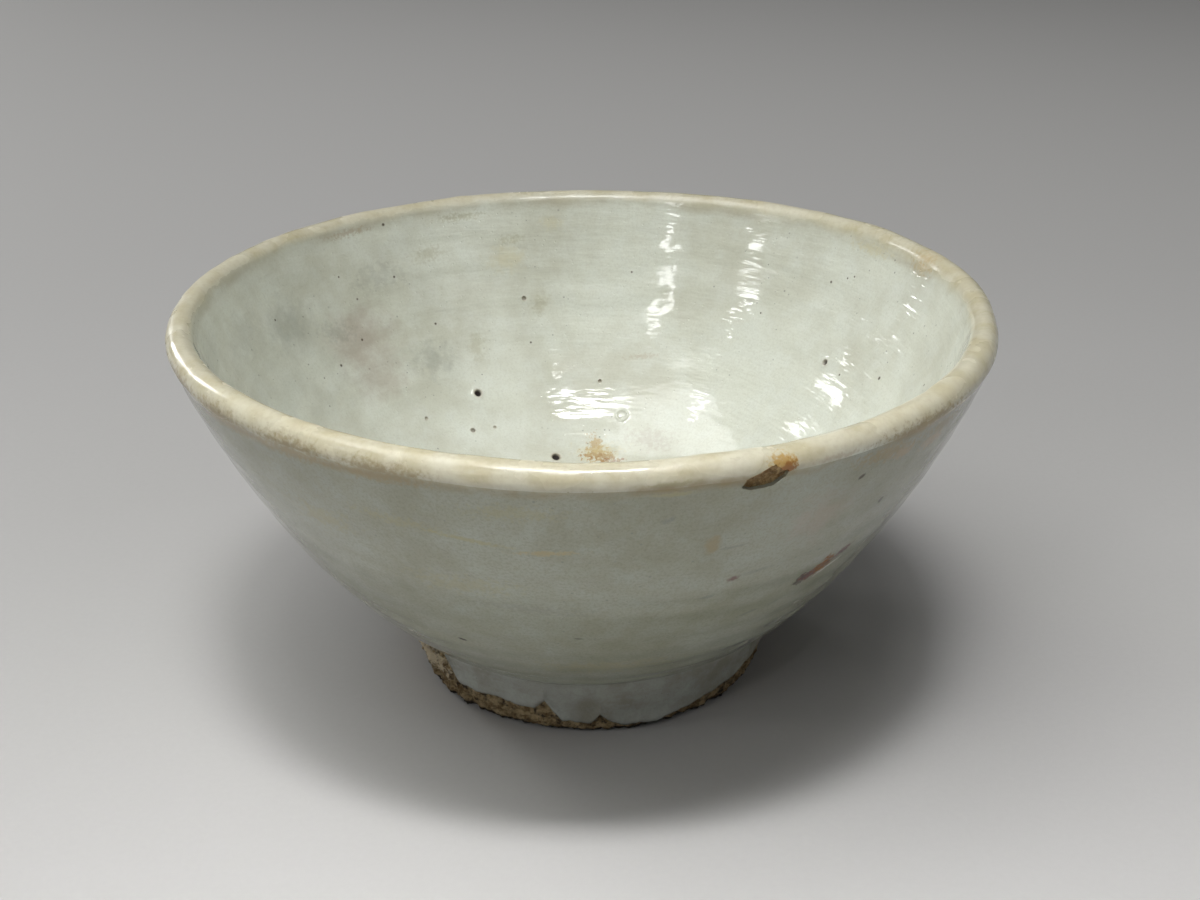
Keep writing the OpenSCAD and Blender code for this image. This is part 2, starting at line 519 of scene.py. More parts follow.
@dataclass
class Skin:
    """A net of faces laid out by turn and path, kept on a cylinder of radius 1 while it is cut."""

    net: bmesh.types.BMesh

    @classmethod
    def woven(cls, rows: list[tuple[float, int]]) -> "Skin":
        """Lay rings of points and join each to the next.

        Args:
            rows: the path and the count of points of each ring. A ring has as many points as the
                one before it, or half as many, and a count of 1 closes the net at a point.

        Returns:
            The new skin.
        """
        net = bmesh.new()
        rings = []
        for path, count in rows:
            turns = np.arange(count) * FULL_TURN / count
            reach = 0.0 if count == 1 else 1.0
            rings.append([net.verts.new((reach * math.cos(a), reach * math.sin(a), path)) for a in turns])
        for low, high in zip(rings, rings[1:]):
            cls._join(net, low, high)
        return cls(net)

    @staticmethod
    def _join(net: bmesh.types.BMesh, low: list, high: list) -> None:
        """Fill between two rings of the same count, of half the count, or with a point."""
        count = len(low)
        if count == 1:
            for i in range(len(high)):
                net.faces.new((low[0], high[(i + 1) % len(high)], high[i]))
        elif len(high) == count:
            for i in range(count):
                net.faces.new((low[i], low[(i + 1) % count], high[(i + 1) % count], high[i]))
        elif len(high) == 1:
            for i in range(count):
                net.faces.new((low[i], low[(i + 1) % count], high[0]))
        else:
            for i in range(len(high)):
                left, middle, right = low[2 * i], low[2 * i + 1], low[(2 * i + 2) % count]
                top, next_top = high[i], high[(i + 1) % len(high)]
                net.faces.new((left, middle, top))
                net.faces.new((middle, next_top, top))
                net.faces.new((middle, right, next_top))

    def layout(self) -> tuple[Array, Array]:
        """Give the turn and the path of every point."""
        flat = np.array([vertex.co[:] for vertex in self.net.verts]).reshape(-1, 3)
        return np.arctan2(flat[:, 1], flat[:, 0]), flat[:, 2].copy()

    def refine(self, form: BowlForm, azimuth: float, path: float, reaches: tuple[float, ...]) -> None:
        """Halve the faces near a place, once for each reach in millimetres."""
        target = form.place(azimuth, path)
        for reach in reaches:
            self.net.verts.index_update()
            near = np.linalg.norm(form.spots(*self.layout()) - target, axis=1) < reach
            edges = [e for e in self.net.edges if near[e.verts[0].index] and near[e.verts[1].index]]
            bmesh.ops.subdivide_edges(
                self.net, edges=edges, cuts=1, use_grid_fill=True, use_single_edge=True)
        odd = [face for face in self.net.faces if len(face.verts) > 4]
        bmesh.ops.triangulate(self.net, faces=odd)

    def drop(self, unwanted: Array) -> None:
        """Remove the faces whose points are mostly unwanted."""
        self.net.verts.index_update()
        gone = [f for f in self.net.faces
                if 2 * sum(unwanted[v.index] for v in f.verts) > len(f.verts)]
        bmesh.ops.delete(self.net, geom=gone, context="FACES")

    def turn_inside_out(self) -> None:
        """Face every face the other way."""
        bmesh.ops.reverse_faces(self.net, faces=self.net.faces[:])

    def arrays(self) -> tuple[list[tuple[int, ...]], list[tuple[int, int]]]:
        """Give the faces, and the border edges in the direction of their face."""
        self.net.verts.index_update()
        faces = [tuple(v.index for v in face.verts) for face in self.net.faces]
        border = [(loop.vert.index, loop.link_loop_next.vert.index)
                  for face in self.net.faces for loop in face.loops if loop.edge.is_boundary]
        return faces, border


def make_mesh(name: str, points: Array, faces: list[tuple[int, ...]],
              corner_normals: Array | None = None) -> Piece:
    """Turn points in millimetres and faces into an object of the scene.

    Args:
        name: the piece's name.
        points: the places in millimetres.
        faces: the point numbers of each face.
        corner_normals: a normal for each corner of each face, or None for plain smooth shading.

    Returns:
        The new object.
    """
    mesh = bpy.data.meshes.new(name)
    mesh.from_pydata((points * MM).tolist(), [], faces)
    mesh.polygons.foreach_set("use_smooth", np.ones(len(faces), bool))
    if corner_normals is not None:
        mesh.normals_split_custom_set(corner_normals.tolist())
    mesh.validate()
    mesh.update()
    piece = bpy.data.objects.new(name, mesh)
    bpy.context.scene.collection.objects.link(piece)
    return piece


def make_shell(name: str, skin: Skin, front: Array, back: Array,
               normals: Array) -> Piece:
    """Close a skin into a thin shell with a front, a back and walls along its borders.

    Args:
        name: the piece's name.
        skin: the net of faces.
        front: the visible places of the skin's points, in millimetres.
        back: the places that lie on the clay.
        normals: the visible side's normals at the skin's points.

    Returns:
        The new object.
    """
    faces, border = skin.arrays()
    count = len(front)
    points = np.vstack([front, back])
    back_faces = [tuple(i + count for i in reversed(face)) for face in faces]
    walls = [(b, a, a + count, b + count) for a, b in border]
    corner = [normals[list(face)] for face in faces]
    corner += [-normals[[i - count for i in face]] for face in back_faces]
    for wall in walls:
        facing = np.cross(points[wall[1]] - points[wall[0]], points[wall[3]] - points[wall[0]])
        facing /= max(np.linalg.norm(facing), 1e-9)
        corner.append(np.repeat(facing[None, :], 4, axis=0))
    return make_mesh(name, points, faces + back_faces + walls, np.vstack(corner))


@dataclass
class FootForm:
    """The turned foot ring with its ragged glaze. Sizes are in millimetres.

    Attributes:
        draft: how much the side leans out with each millimetre of height.
        edge_radius: the rounding of the standing face's worn outer edge.
        bevel: how wide that worn edge is.
        lift: how far the wear has raised it.
        painted_shadow_top: how high the painted contact shadow along the standing edge reaches.
        recess_draft: how much the recess's side leans in with each millimetre of height.
        chip_azimuth: the middle of the chip in the side, in degrees.
        chip_half: half the chip's width, in degrees.
        bare_band: azimuths and heights that the glaze's lower edge runs through.
    """

    draft: float = 0.28
    edge_radius: float = 0.7
    bevel: float = 2.4
    lift: float = 0.5
    painted_shadow_top: float = 0.85
    recess_draft: float = 0.12
    chip_azimuth: float = -150.0
    chip_half: float = 16.5
    bare_band: tuple[tuple[float, float], ...] = (
        (-180.0, 8.0), (-137.0, 9.5), (-134.0, 5.2), (-127.0, 5.0), (-119.0, 6.0), (-112.0, 4.8),
        (-107.0, 5.4), (-103.5, 7.4), (-101.0, 4.6), (-99.0, 2.6), (-90.0, 2.3), (-87.5, 4.3),
        (-85.0, 2.3), (-80.0, 1.3), (-70.0, 0.8), (-65.0, 1.9), (-58.0, 2.7), (-50.0, 3.4),
        (-42.0, 4.6), (-34.0, 6.6), (-27.0, 9.6), (-14.0, 10.2), (2.0, 5.0), (16.0, 2.4), (48.0, 4.2),
        (70.0, 2.2), (105.0, 3.8), (140.0, 1.8), (165.0, 4.4), (180.0, 8.0))

    def __post_init__(self) -> None:
        """Read the foot's sizes from the frame."""
        _, foot_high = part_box("foot_glaze")
        recess_low, recess_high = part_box("recess_glaze")
        _, ring_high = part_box("foot_ring")
        self.top_radius = foot_high.x / MM
        self.top = foot_high.z / MM
        self.radius = self.top_radius - self.draft * self.top
        self.recess = ring_high.z / MM
        self.glaze_foot = recess_low.z / MM
        self.ring_inner = recess_high.x / MM + self.recess_draft * self.glaze_foot
        self.rise = recess_high.z / MM - self.recess

    def recess_corner(self, height: float) -> float:
        """Give the radius of the recess's side at a height."""
        return self.ring_inner - self.recess_draft * height

    def bare_height(self, turn: Array) -> Array:
        """Give the height of the glaze's lower edge at each turn."""
        azimuth, height = np.array(self.bare_band).T
        ring = ring_points(self.radius, turn, np.zeros(len(turn)))
        edge = np.interp(np.degrees(turn), azimuth, height) + 0.35
        edge += 0.45 * Grain(2.4, 61, 2).at(ring) + 0.2 * Grain(0.9, 62).at(ring)
        edge = edge + (self.top - 0.4 - edge) * self.broken(turn)
        return np.clip(edge, 1.0, self.top - 0.35)

    def broken(self, turn: Array) -> Array:
        """Give 1 where the chip has taken the foot's side away, and 0 elsewhere."""
        gap = np.abs(turn_gap(turn, self.chip_azimuth))
        return 1.0 - ease(self.chip_half - 3.0, self.chip_half + 1.0, gap)

    def side(self, turn: Array, height: Array, depth: Array | float) -> Array:
        """Give places on the outside of the foot, at a depth below the glaze's nominal surface."""
        return ring_points(self.radius + self.draft * height - depth, turn, height)


@dataclass
class FootGlaze:
    """Build the skirt of glaze down the side of the foot, whose lower edge rolls onto the clay."""

    foot: FootForm
    form: BowlForm
    turns: int = 900
    rows: int = 26
    roll_width: float = 1.3

    def surface(self, turn: Array, share: Array) -> Array:
        """Give the glaze's surface, from share 0 at its lower edge to share 1 at the wall."""
        foot = self.foot
        low = foot.bare_height(turn)
        height = low + share * (foot.top - low)
        spots = foot.side(turn, height, 0.0)
        roll = rolled((height - low) / self.roll_width)
        pool = 0.60 * hump(height - low - 1.5, 1.4) + 0.40 * Grain(9.0, 71).at(spots, (1, 1, 2))
        pool += 0.10 * Grain(3.0, 72).at(spots)
        settle = 1.0 - ease(0.82, 1.0, share)
        thick = GLAZE_THICKNESS * roll + settle * roll * pool
        wall = self.form.points(turn, np.zeros(len(turn)))
        meet = foot.side(turn, np.full(len(turn), foot.top), 0.0)
        shift = (wall - meet) * (share ** 2)[:, None]
        return foot.side(turn, height, GLAZE_THICKNESS - thick) + shift

    def build(self) -> Piece:
        """Weave the skirt and close it into a shell."""
        foot = self.foot
        shares = np.linspace(0.0, 1.0, self.rows) ** 1.25
        skin = Skin.woven([(float(share), self.turns) for share in shares])
        turn, share = skin.layout()
        low = foot.bare_height(turn)
        back = foot.side(turn, low + share * (foot.top - low), GLAZE_THICKNESS + 0.02)
        normals = unit(facing(self.surface, turn, share, 0.15 / foot.radius, 0.015, 1.0))
        return make_shell("glaze_on_foot", skin, self.surface(turn, share), back, normals)


def even_rows(start: float, end: float, spacing: float, count: int) -> list[tuple[float, int]]:
    """Space rings of one count evenly from start to end, both included."""
    steps = max(1, round(abs(end - start) / spacing))
    return [(start + (end - start) * i / steps, count) for i in range(steps + 1)]


@dataclass
class BowlGlaze:
    """Build the three zones of glaze on the wall: outside, lip and inside.

    Attributes:
        form: the surface that the glaze makes.
        turns: how many points each ring has.
        spacing: the distance between rings, in millimetres.
        lip_spacing: the same on the lip.
        thinning: the radii inside which the floor's rings have half as many points, each time.
        chip_reaches: how near the chip the faces are halved, once for each reach.
        pit_reaches: the same near a pinhole, in widths of it.
    """

    form: BowlForm
    turns: int = 448
    spacing: float = 0.95
    lip_spacing: float = 0.32
    thinning: tuple[float, ...] = (36.0, 15.0, 6.0)
    chip_reaches: tuple[float, ...] = (7.5, 6.2, 5.4)
    pit_reaches: tuple[float, ...] = (1.6, 1.15, 0.9)

    def _shell(self, name: str, skin: Skin) -> Piece:
        """Place a skin on the form and close it down to the clay."""
        turn, path = skin.layout()
        return make_shell(
            name, skin, self.form.points(turn, path),
            self.form.points(turn, path, GLAZE_THICKNESS, pitted=False), self.form.normals(turn, path))

    def _chipped(self, name: str, rows: list[tuple[float, int]]) -> Piece:
        """Build a zone that the lip chip has broken into, refined round the chip."""
        form, chip = self.form, self.form.chip
        skin = Skin.woven(rows)
        skin.refine(form, chip.azimuth, form.chip_path, self.chip_reaches)
        turn, path = skin.layout()
        skin.drop(form.chip_share(turn, path, form.spots(turn, path)) > 0.0)
        return self._shell(name, skin)

    def outside(self) -> Piece:
        """Build the glaze from the foot joint up to the lip."""
        return self._chipped("glaze_outside", even_rows(0.0, self.form.lip_start, self.spacing, self.turns))

    def lip(self) -> Piece:
        """Build the bead of glaze over the lip."""
        form = self.form
        rows = even_rows(form.lip_start, form.lip_end, self.lip_spacing, self.turns)
        return self._chipped("glaze_on_lip", rows)

    def inside(self) -> Piece:
        """Build the glaze from the lip down to the middle of the floor."""
        form = self.form
        rows = []
        for path, count in even_rows(form.lip_end, form.path_end, self.spacing, self.turns):
            radius = float(form.outline.at(np.array([path]))[0][0])
            rows.append((path, count >> sum(radius < limit for limit in self.thinning)))
        rows[-1] = (form.path_end, 1)
        skin = Skin.woven(rows)
        for pit in (*form.pits, form.blister):
            reaches = tuple(reach * pit.width for reach in self.pit_reaches)
            skin.refine(form, pit.azimuth, form.inside_path(pit.radius), reaches)
        return self._shell("glaze_inside", skin)


@dataclass
class BowlClay:
    """Build the thrown clay wall and floor, which shows only where the lip is chipped."""

    form: BowlForm
    turns: int = 320
    spacing: float = 1.7
    chip_reaches: tuple[float, ...] = (8.0, 7.0, 6.0, 5.2)

    def build(self) -> Piece:
        """Build the closed clay body, down to the plane where the foot joins it."""
        form, chip = self.form, self.form.chip
        rows = [(-form.foot_radius, 1)]
        rows += even_rows(-0.9 * form.foot_radius, -0.6, 4.0, self.turns)
        rows += even_rows(0.0, form.lip_start, self.spacing, self.turns)
        rows += even_rows(form.lip_start, form.lip_end, 0.8, self.turns)[1:]
        rows += even_rows(form.lip_end, form.path_end - 4.0, self.spacing, self.turns)[1:]
        rows.append((form.path_end, 1))
        skin = Skin.woven(rows)
        skin.refine(form, chip.azimuth, form.chip_path, self.chip_reaches)
        turn, path = skin.layout()
        wall = np.clip(path, 0.0, None)
        spots = form.spots(turn, wall)
        share = form.chip_share(turn, wall, spots)
        hollow = (chip.depth + 0.22 * Grain(1.3, 91, 3).at(spots)) * ease(-0.05, 0.45, share)
        points = form.points(turn, wall, GLAZE_THICKNESS + 0.03 + hollow, pitted=False)
        # Paths below 0 run over the joint's flat disc, to its middle.
        under = path < 0.0
        points[under, :2] *= np.clip(1.0 + path[under] / form.foot_radius, 0.0, 1.0)[:, None]
        return make_mesh("clay_wall", points, skin.arrays()[0])


@dataclass
class FootClay:
    """Build the turned clay foot: its bare band, its standing face, its recess and its chip."""

    foot: FootForm
    turns: int = 720
    crack_azimuth: float = -117.0

    def __post_init__(self) -> None:
        """Lay out the foot's section."""
        foot = self.foot
        side = foot.radius - GLAZE_THICKNESS
        self.inner_corner = (foot.recess_corner(foot.recess), foot.recess)
        self.outline = Outline(rounded_line([
            (0.0, foot.recess + foot.rise, 0.0),
            (*self.inner_corner, 1.0),
            (foot.ring_inner, 0.0, 0.6),
            (side - foot.bevel, 0.0, 0.8),
            (side, foot.lift, foot.edge_radius),
            (side + foot.draft * foot.top, foot.top, 0.0),
            (0.0, foot.top, 0.0)]))

    def _hollow(self, turn: Array, radius: Array, height: Array) -> Array:
        """Give how deep the chip and the crack cut into the side of the foot."""
        foot = self.foot
        spots = ring_points(radius, turn, height)
        outer = ease(foot.ring_inner + 1.0, foot.radius - 1.5, radius)
        flakes = Grain(4.2, 101, 2).at(spots, (1.0, 1.0, 1.8))
        steps = np.floor(3.5 * flakes + 0.6 * Grain(1.6, 102).at(spots)) / 3.5
        chip = foot.broken(turn) * (1.10 * steps - 0.10 + 0.45 * Grain(1.0, 103, 2).at(spots))
        chip *= 1.0 - ease(foot.top - 0.8, foot.top, height)
        gap = turn_gap(turn, self.crack_azimuth)
        crack = 0.55 * hump(height - 2.4 - 0.035 * gap, 0.22) * hump(gap, 7.0)
        return outer * (np.clip(chip, -0.5, None) + crack)

    def points(self, turn: Array, path: Array) -> Array:
        """Give the finished surface of the clay."""
        foot = self.foot
        radius, height, normal_out, normal_up = self.outline.at(path)
        spots = ring_points(radius, turn, height)
        bare = 1.0 - ease(-0.6, 0.6, height - foot.bare_height(turn) * (radius > foot.ring_inner + 2.0))
        rough = 0.34 * Grain(2.6, 111, 2).at(spots) + 0.30 * Grain(1.0, 112, 2).at(spots)
        rough -= 1.3 * np.clip(Grain(1.9, 113).at(spots) - 0.22, 0.0, None)
        proud = (0.25 + 0.75 * bare) * rough + 0.12 * bare - self._hollow(turn, radius, height)
        proud *= ease(0.0, 4.0, path) * (1.0 - ease(foot.top - 0.8, foot.top, height))
        height = np.clip(height + proud * normal_up, 0.0, None)
        return ring_points(radius + proud * normal_out, turn, height)

    def build(self) -> Piece:
        """Build the closed clay foot, with its rings closest together on the outside."""
        outline, foot = self.outline, self.foot
        wall_top = outline.nearest(*self.inner_corner)
        inner_edge = outline.nearest(foot.ring_inner, 0.0)
        outer_edge = outline.nearest(foot.radius - GLAZE_THICKNESS - foot.bevel, 0.0)
        joint = outline.nearest(foot.top_radius, foot.top)
        rows = [(0.0, 1)] + even_rows(4.0, wall_top, 4.0, self.turns)
        for start, end, spacing in (
                (wall_top, inner_edge, 0.8), (inner_edge, outer_edge, 0.4), (outer_edge, joint, 0.26),
                (joint, outline.length - 10.0, 6.0)):
            rows += even_rows(start, end, spacing, self.turns)[1:]
        rows.append((outline.length, 1))
        skin = Skin.woven(rows)
        return make_mesh("clay_foot", self.points(*skin.layout()), skin.arrays()[0])


@dataclass
class RecessGlaze:
    """Build the glaze in the recess under the floor."""

    foot: FootForm
    turns: int = 360
    roll_width: float = 1.2

    def __post_init__(self) -> None:
        """Lay out the recess's section, from the glaze's edge to the middle."""
        foot = self.foot
        self.outline = Outline(rounded_line([
            (foot.recess_corner(foot.glaze_foot), foot.glaze_foot, 0.0),
            (foot.recess_corner(foot.recess), foot.recess, 1.0),
            (0.0, foot.recess + foot.rise, 0.0)]))

    def _rows(self) -> list[tuple[float, int]]:
        """Space the rings, with each count at least half of the count before it."""
        end = self.outline.length
        rows = even_rows(0.0, 9.0, 0.5, self.turns) + even_rows(10.0, end - 12.0, 1.0, self.turns)
        rows += even_rows(end - 11.0, end - 1.0, 1.5, self.turns // 4)
        eased = [rows[0]]
        for path, count in rows[1:]:
            eased.append((path, max(count, eased[-1][1] // 2)))
        return eased + [(end, 1)]

    def _face(self, turn: Array, path: Array, share: float = 1.0) -> Array:
        """Give the glaze's face for a share of 1, or the clay's for 0."""
        radius, height, normal_out, normal_up = self.outline.at(path)
        spots = ring_points(radius, turn, height)
        thick = GLAZE_THICKNESS * rolled(path / self.roll_width)
        # The solid is on the outer side of this line, so its normals point into it.
        proud = share * (thick * (1.0 + 0.25 * Grain(7.0, 121).at(spots)))
        rag = (0.7 * Grain(3.0, 122, 2).at(spots)) * (1.0 - ease(0.0, 3.0, path))
        return ring_points(radius - proud * normal_out, turn, height - proud * normal_up + rag)

    def build(self) -> Piece:
        """Build the shell from its ragged edge on the ring's inner side to the middle."""
        skin = Skin.woven(self._rows())
        skin.turn_inside_out()
        turn, path = skin.layout()
        radius, _, _, _ = self.outline.at(path)
        reach = 0.2
        swing = reach / np.maximum(radius, 1.0)
        normal = -facing(self._face, turn, path, swing, reach, self.outline.length)
        normal[radius < 1.0] = (0.0, 0.0, -1.0)
        return make_shell("glaze_in_recess", skin, self._face(turn, path),
                          self._face(turn, path, 0.0), unit(normal))


def paint(red: int, green: int, blue: int) -> Colour:
    """Turn a colour as it looks, with parts up to 255, into the shader's linear parts."""
    parts = []
    for part in (red, green, blue):
        share = part / 255.0
        parts.append(share / 12.92 if share <= 0.04045 else ((share + 0.055) / 1.055) ** 2.4)
    return (*parts, 1.0)


class Value:
    """A number, colour or vector in a shader, so that sums can be written plainly."""

    def __init__(self, tree: "Tree", socket: bpy.types.NodeSocket) -> None:
        """Keep the socket that gives the value."""
        self.tree = tree
        self.socket = socket

    def __add__(self, other: object) -> "Value":
        """Add another value."""
        return self.tree.calc("ADD", self, other)

    def __sub__(self, other: object) -> "Value":
        """Take another value away."""
        return self.tree.calc("SUBTRACT", self, other)

    def __rsub__(self, other: float) -> "Value":
        """Take the value away from a number."""
        return self.tree.calc("SUBTRACT", other, self)

    def __mul__(self, other: object) -> "Value":
        """Multiply by another value."""
        return self.tree.calc("MULTIPLY", self, other)

    def __rtruediv__(self, other: float) -> "Value":
        """Divide a number by the value."""
        return self.tree.calc("DIVIDE", other, self)


class Tree:
    """Lay shader nodes in one node tree with short calls."""

    def __init__(self, tree: bpy.types.NodeTree) -> None:
        """Keep the tree that the nodes go into."""
        self.tree = tree

    def add(self, kind: str, **settings: object) -> bpy.types.Node:
        """Add a node and set its named settings.

        Args:
            kind: the node's type, without the word ShaderNode.
            settings: the node's own settings by name.

        Returns:
            The new node.
        """
        node = self.tree.nodes.new("ShaderNode" + kind)
        for name, value in settings.items():
            setattr(node, name, value)
        return node

    def put(self, socket: bpy.types.NodeSocket, value: object) -> None:
        """Link a socket to a value, or set its constant."""
        if isinstance(value, Value):
            self.tree.links.new(value.socket, socket)
        else:
            socket.default_value = value

    def lay(self, kind: str, *takes: object, **settings: object) -> list[Value]:
        """Add a node and feed its inputs in order.

        Args:
            kind: the node's type, without the word ShaderNode.
            takes: what the first inputs take.
            settings: the node's own settings by name.

        Returns:
            Each of the node's outputs.
        """
        node = self.add(kind, **settings)
        for socket, value in zip(node.inputs, takes):
            self.put(socket, value)
        return [Value(self, socket) for socket in node.outputs]

    def calc(self, operation: str, first: object, second: object) -> Value:
        """Work out one number from two."""
        return self.lay("Math", first, second, operation=operation)[0]

    def vector(self, operation: str, *takes: object) -> Value:
        """Work out a vector, or the number that LENGTH and DISTANCE give."""
        outputs = self.lay("VectorMath", *takes, operation=operation)
        return outputs[1 if operation in ("LENGTH", "DISTANCE") else 0]

    def turned_back(self, vector: Value, axis: str, angle: Value) -> Value:
        """Turn a vector back by an angle about the X or the Z axis."""
        node = self.add("VectorRotate", rotation_type=axis + "_AXIS")
        self.put(node.inputs["Vector"], vector)
        self.put(node.inputs["Angle"], angle * -1.0)
        return Value(self, node.outputs[0])

    def blend(self, share: object, low: object, high: object) -> Value:
        """Blend two colours by a share."""
        node = self.add("Mix", data_type="RGBA")
        for socket, value in zip((node.inputs[0], node.inputs[6], node.inputs[7]), (share, low, high)):
            self.put(socket, value)
        return Value(self, node.outputs[2])

    def spread(self, value: object, low: object, high: object, to_low: object = 0.0,
               to_high: object = 1.0) -> Value:
        """Carry a value smoothly from one range to another."""
        return self.lay("MapRange", value, low, high, to_low, to_high, interpolation_type="SMOOTHSTEP")[0]

    def noise(self, position: Value, scale: object, detail: float, roughness: float) -> Value:
        """Add smooth noise and give its value."""
        node = self.add("TexNoise", noise_dimensions="3D")
        for name, value in (("Vector", position), ("Scale", scale), ("Detail", detail),
                            ("Roughness", roughness)):
            self.put(node.inputs[name], value)
        return Value(self, node.outputs[0])

    def cells(self, position: Value, scale: object) -> tuple[Value, Value]:
        """Scatter points in space, and give the distance to the nearest and its random colour."""
        node = self.add("TexVoronoi", voronoi_dimensions="3D", feature="F1")
        self.put(node.inputs["Vector"], position)
        self.put(node.inputs["Scale"], scale)
        return Value(self, node.outputs["Distance"]), Value(self, node.outputs["Color"])

    def group(self, shared: bpy.types.NodeTree, **values: object) -> dict[str, Value]:
        """Place a shared group.

        Args:
            shared: the group.
            values: what its inputs take, by name, with spaces written as underscores.

        Returns:
            The group's outputs by name.
        """
        node = self.add("Group", node_tree=shared)
        for name, value in values.items():
            self.put(node.inputs[name.replace("_", " ")], value)
        return {socket.name: Value(self, socket) for socket in node.outputs}


class Group(Tree):
    """A shader node group. Reading a name gives an input, and setting a name feeds an output."""

    def __init__(self, name: str, takes: dict[str, float | None], gives: tuple[str, ...]) -> None:
        """Start the group.

        Args:
            name: the group's name.
            takes: each input's name and its default, where None means a vector.
            gives: the names of its outputs, which are all single values.
        """
        super().__init__(bpy.data.node_groups.new(name, "ShaderNodeTree"))
        for label, default in takes.items():
            kind = "NodeSocketVector" if default is None else "NodeSocketFloat"
            socket = self.tree.interface.new_socket(label, in_out="INPUT", socket_type=kind)
            if default is not None:
                socket.default_value = default
        for label in gives:
            self.tree.interface.new_socket(label, in_out="OUTPUT", socket_type="NodeSocketFloat")
        self.start = self.tree.nodes.new("NodeGroupInput")
        self.end = self.tree.nodes.new("NodeGroupOutput")

    def __getitem__(self, name: str) -> Value:
        """Give an input's value."""
        return Value(self, self.start.outputs[name])

    def __setitem__(self, name: str, value: Value) -> None:
        """Feed an output."""
        self.put(self.end.inputs[name], value)


class Effects:
    """The shader groups that the bowl's materials share. Positions in them are millimetres."""

    def __init__(self) -> None:
        """Build each group once."""
        self.patch = self._patch()
        self.spot = self._spot()
        self.milk = self._milk()
        self.specks = self._specks()
        self.clouds = self._clouds()
        self.lip_wear = self._lip_wear()
        self.glaze_skin = self._glaze_skin()
        self.clay_grain = self._clay_grain()

    @staticmethod
    def _patch() -> bpy.types.NodeTree:
        """Mask one patch at a place on the bowl, with a ragged edge."""
        group = Group("patch", {
            "Position": None, "Azimuth": 0.0, "Radius": 70.0, "Height": 50.0, "Across": 2.0, "Tall": 2.0,
            "Tilt": 0.0, "Ragged": 0.3, "Grain": 1.0, "Softness": 0.5}, ("Mask",))
        turned = group.turned_back(group["Position"], "Z", group["Azimuth"])
        middle = group.lay("CombineXYZ", group["Radius"], 0.0, group["Height"])[0]
        tilted = group.turned_back(group.vector("SUBTRACT", turned, middle), "X", group["Tilt"])
        deep = group.calc("MAXIMUM", group["Tall"], 4.0)
        reach = group.lay("CombineXYZ", deep, group["Across"], group["Tall"])[0]
        gap = group.vector("LENGTH", group.vector("DIVIDE", tilted, reach))
        ripple = (group.noise(group["Position"], 1.0 / group["Grain"], 3.0, 0.6) - 0.5) * group["Ragged"]
        group["Mask"] = group.spread(gap + ripple * 4.0, 1.0, 1.0 - group["Softness"])
        return group.tree

    @staticmethod
    def _spot() -> bpy.types.NodeTree:
        """Mask a small round spot about a middle."""
        group = Group("spot", {"Position": None, "Middle": None, "Size": 0.5, "Softness": 0.5}, ("Mask",))
        gap = group.vector("DISTANCE", group["Position"], group["Middle"])
        group["Mask"] = group.spread(gap, group["Size"], group["Size"] * (1.0 - group["Softness"]))
        return group.tree

    @staticmethod
    def _milk() -> bpy.types.NodeTree:
        """Give the tones of a milky glaze: broad drifts, curds, level streaks and fine grit."""
        group = Group("milk", {"Position": None, "Grit Size": 0.7}, ("Drift", "Curd", "Streak", "Grit"))
        place = group["Position"]
        level = group.vector("MULTIPLY", place, (0.35, 0.35, 1.6))
        group["Drift"] = group.spread(group.noise(place, 0.045, 3.0, 0.6), 0.36, 0.64)
        group["Curd"] = group.spread(group.noise(place, 0.16, 5.0, 0.62), 0.40, 0.66)
        group["Streak"] = group.spread(group.noise(level, 0.30, 4.0, 0.6), 0.50, 0.72)
        group["Grit"] = group.spread(group.noise(place, 1.0 / group["Grit Size"], 3.0, 0.75), 0.42, 0.68)
        return group.tree

    @staticmethod
    def _specks() -> bpy.types.NodeTree:
        """Scatter small round specks of many sizes."""
        group = Group(
            "specks", {"Position": None, "Spacing": 4.0, "Size": 0.3, "Share": 0.5}, ("Mask",))
        gap, colour = group.cells(group["Position"], 1.0 / group["Spacing"])
        first_draw, second_draw, _ = group.lay("SeparateColor", colour)
        size = (first_draw + 0.25) * group["Size"]
        dot = group.spread(gap * group["Spacing"], size, size * 0.4)
        group["Mask"] = dot * group.calc("LESS_THAN", second_draw, group["Share"])
        return group.tree

    @staticmethod
    def _clouds() -> bpy.types.NodeTree:
        """Vary a tone softly over the surface."""
        group = Group("clouds", {"Position": None, "Size": 20.0, "Low": 0.35, "High": 0.65}, ("Tone",))
        tone = group.noise(group["Position"], 1.0 / group["Size"], 4.0, 0.55)
        group["Tone"] = group.spread(tone, group["Low"], group["High"])
        return group.tree

    @staticmethod
    def _lip_wear() -> bpy.types.NodeTree:
        """Mask the ivory bead of the lip, the ochre line that edges it, and its outer side."""
        group = Group("lip_wear", {
            "Position": None, "Rim Height": 74.0, "Rim Radius": 75.0, "Lip Radius": 2.45, "Lean": 0.36,
            "Inside Drop": 1.2, "Outside Drop": 3.0}, ("Ivory", "Ochre", "Outside"))
        x, y, z = group.lay("SeparateXYZ", group["Position"])
        radius = group.vector("LENGTH", group.lay("CombineXYZ", x, y)[0])
        drop = group["Rim Height"] - z
        middle = group["Rim Radius"] - group["Lip Radius"] - drop * group["Lean"]
        outside = group.spread(radius - middle, -0.6, 0.6)
        wander = (group.noise(group["Position"], 0.10, 6.0, 0.62) - 0.5) * 3.4
        limit = group.spread(outside, 0.0, 1.0, group["Inside Drop"], group["Outside Drop"])
        beyond = drop + wander - limit
        line = group.spread(beyond, -1.0, 0.5) * group.spread(beyond, 2.6, 0.8)
        blotch = group.spread(group.noise(group["Position"], 0.06, 5.0, 0.65), 0.36, 0.66)
        group["Ivory"] = group.spread(beyond, 1.3, -1.1)
        group["Ochre"] = line * blotch
        group["Outside"] = outside
        return group.tree

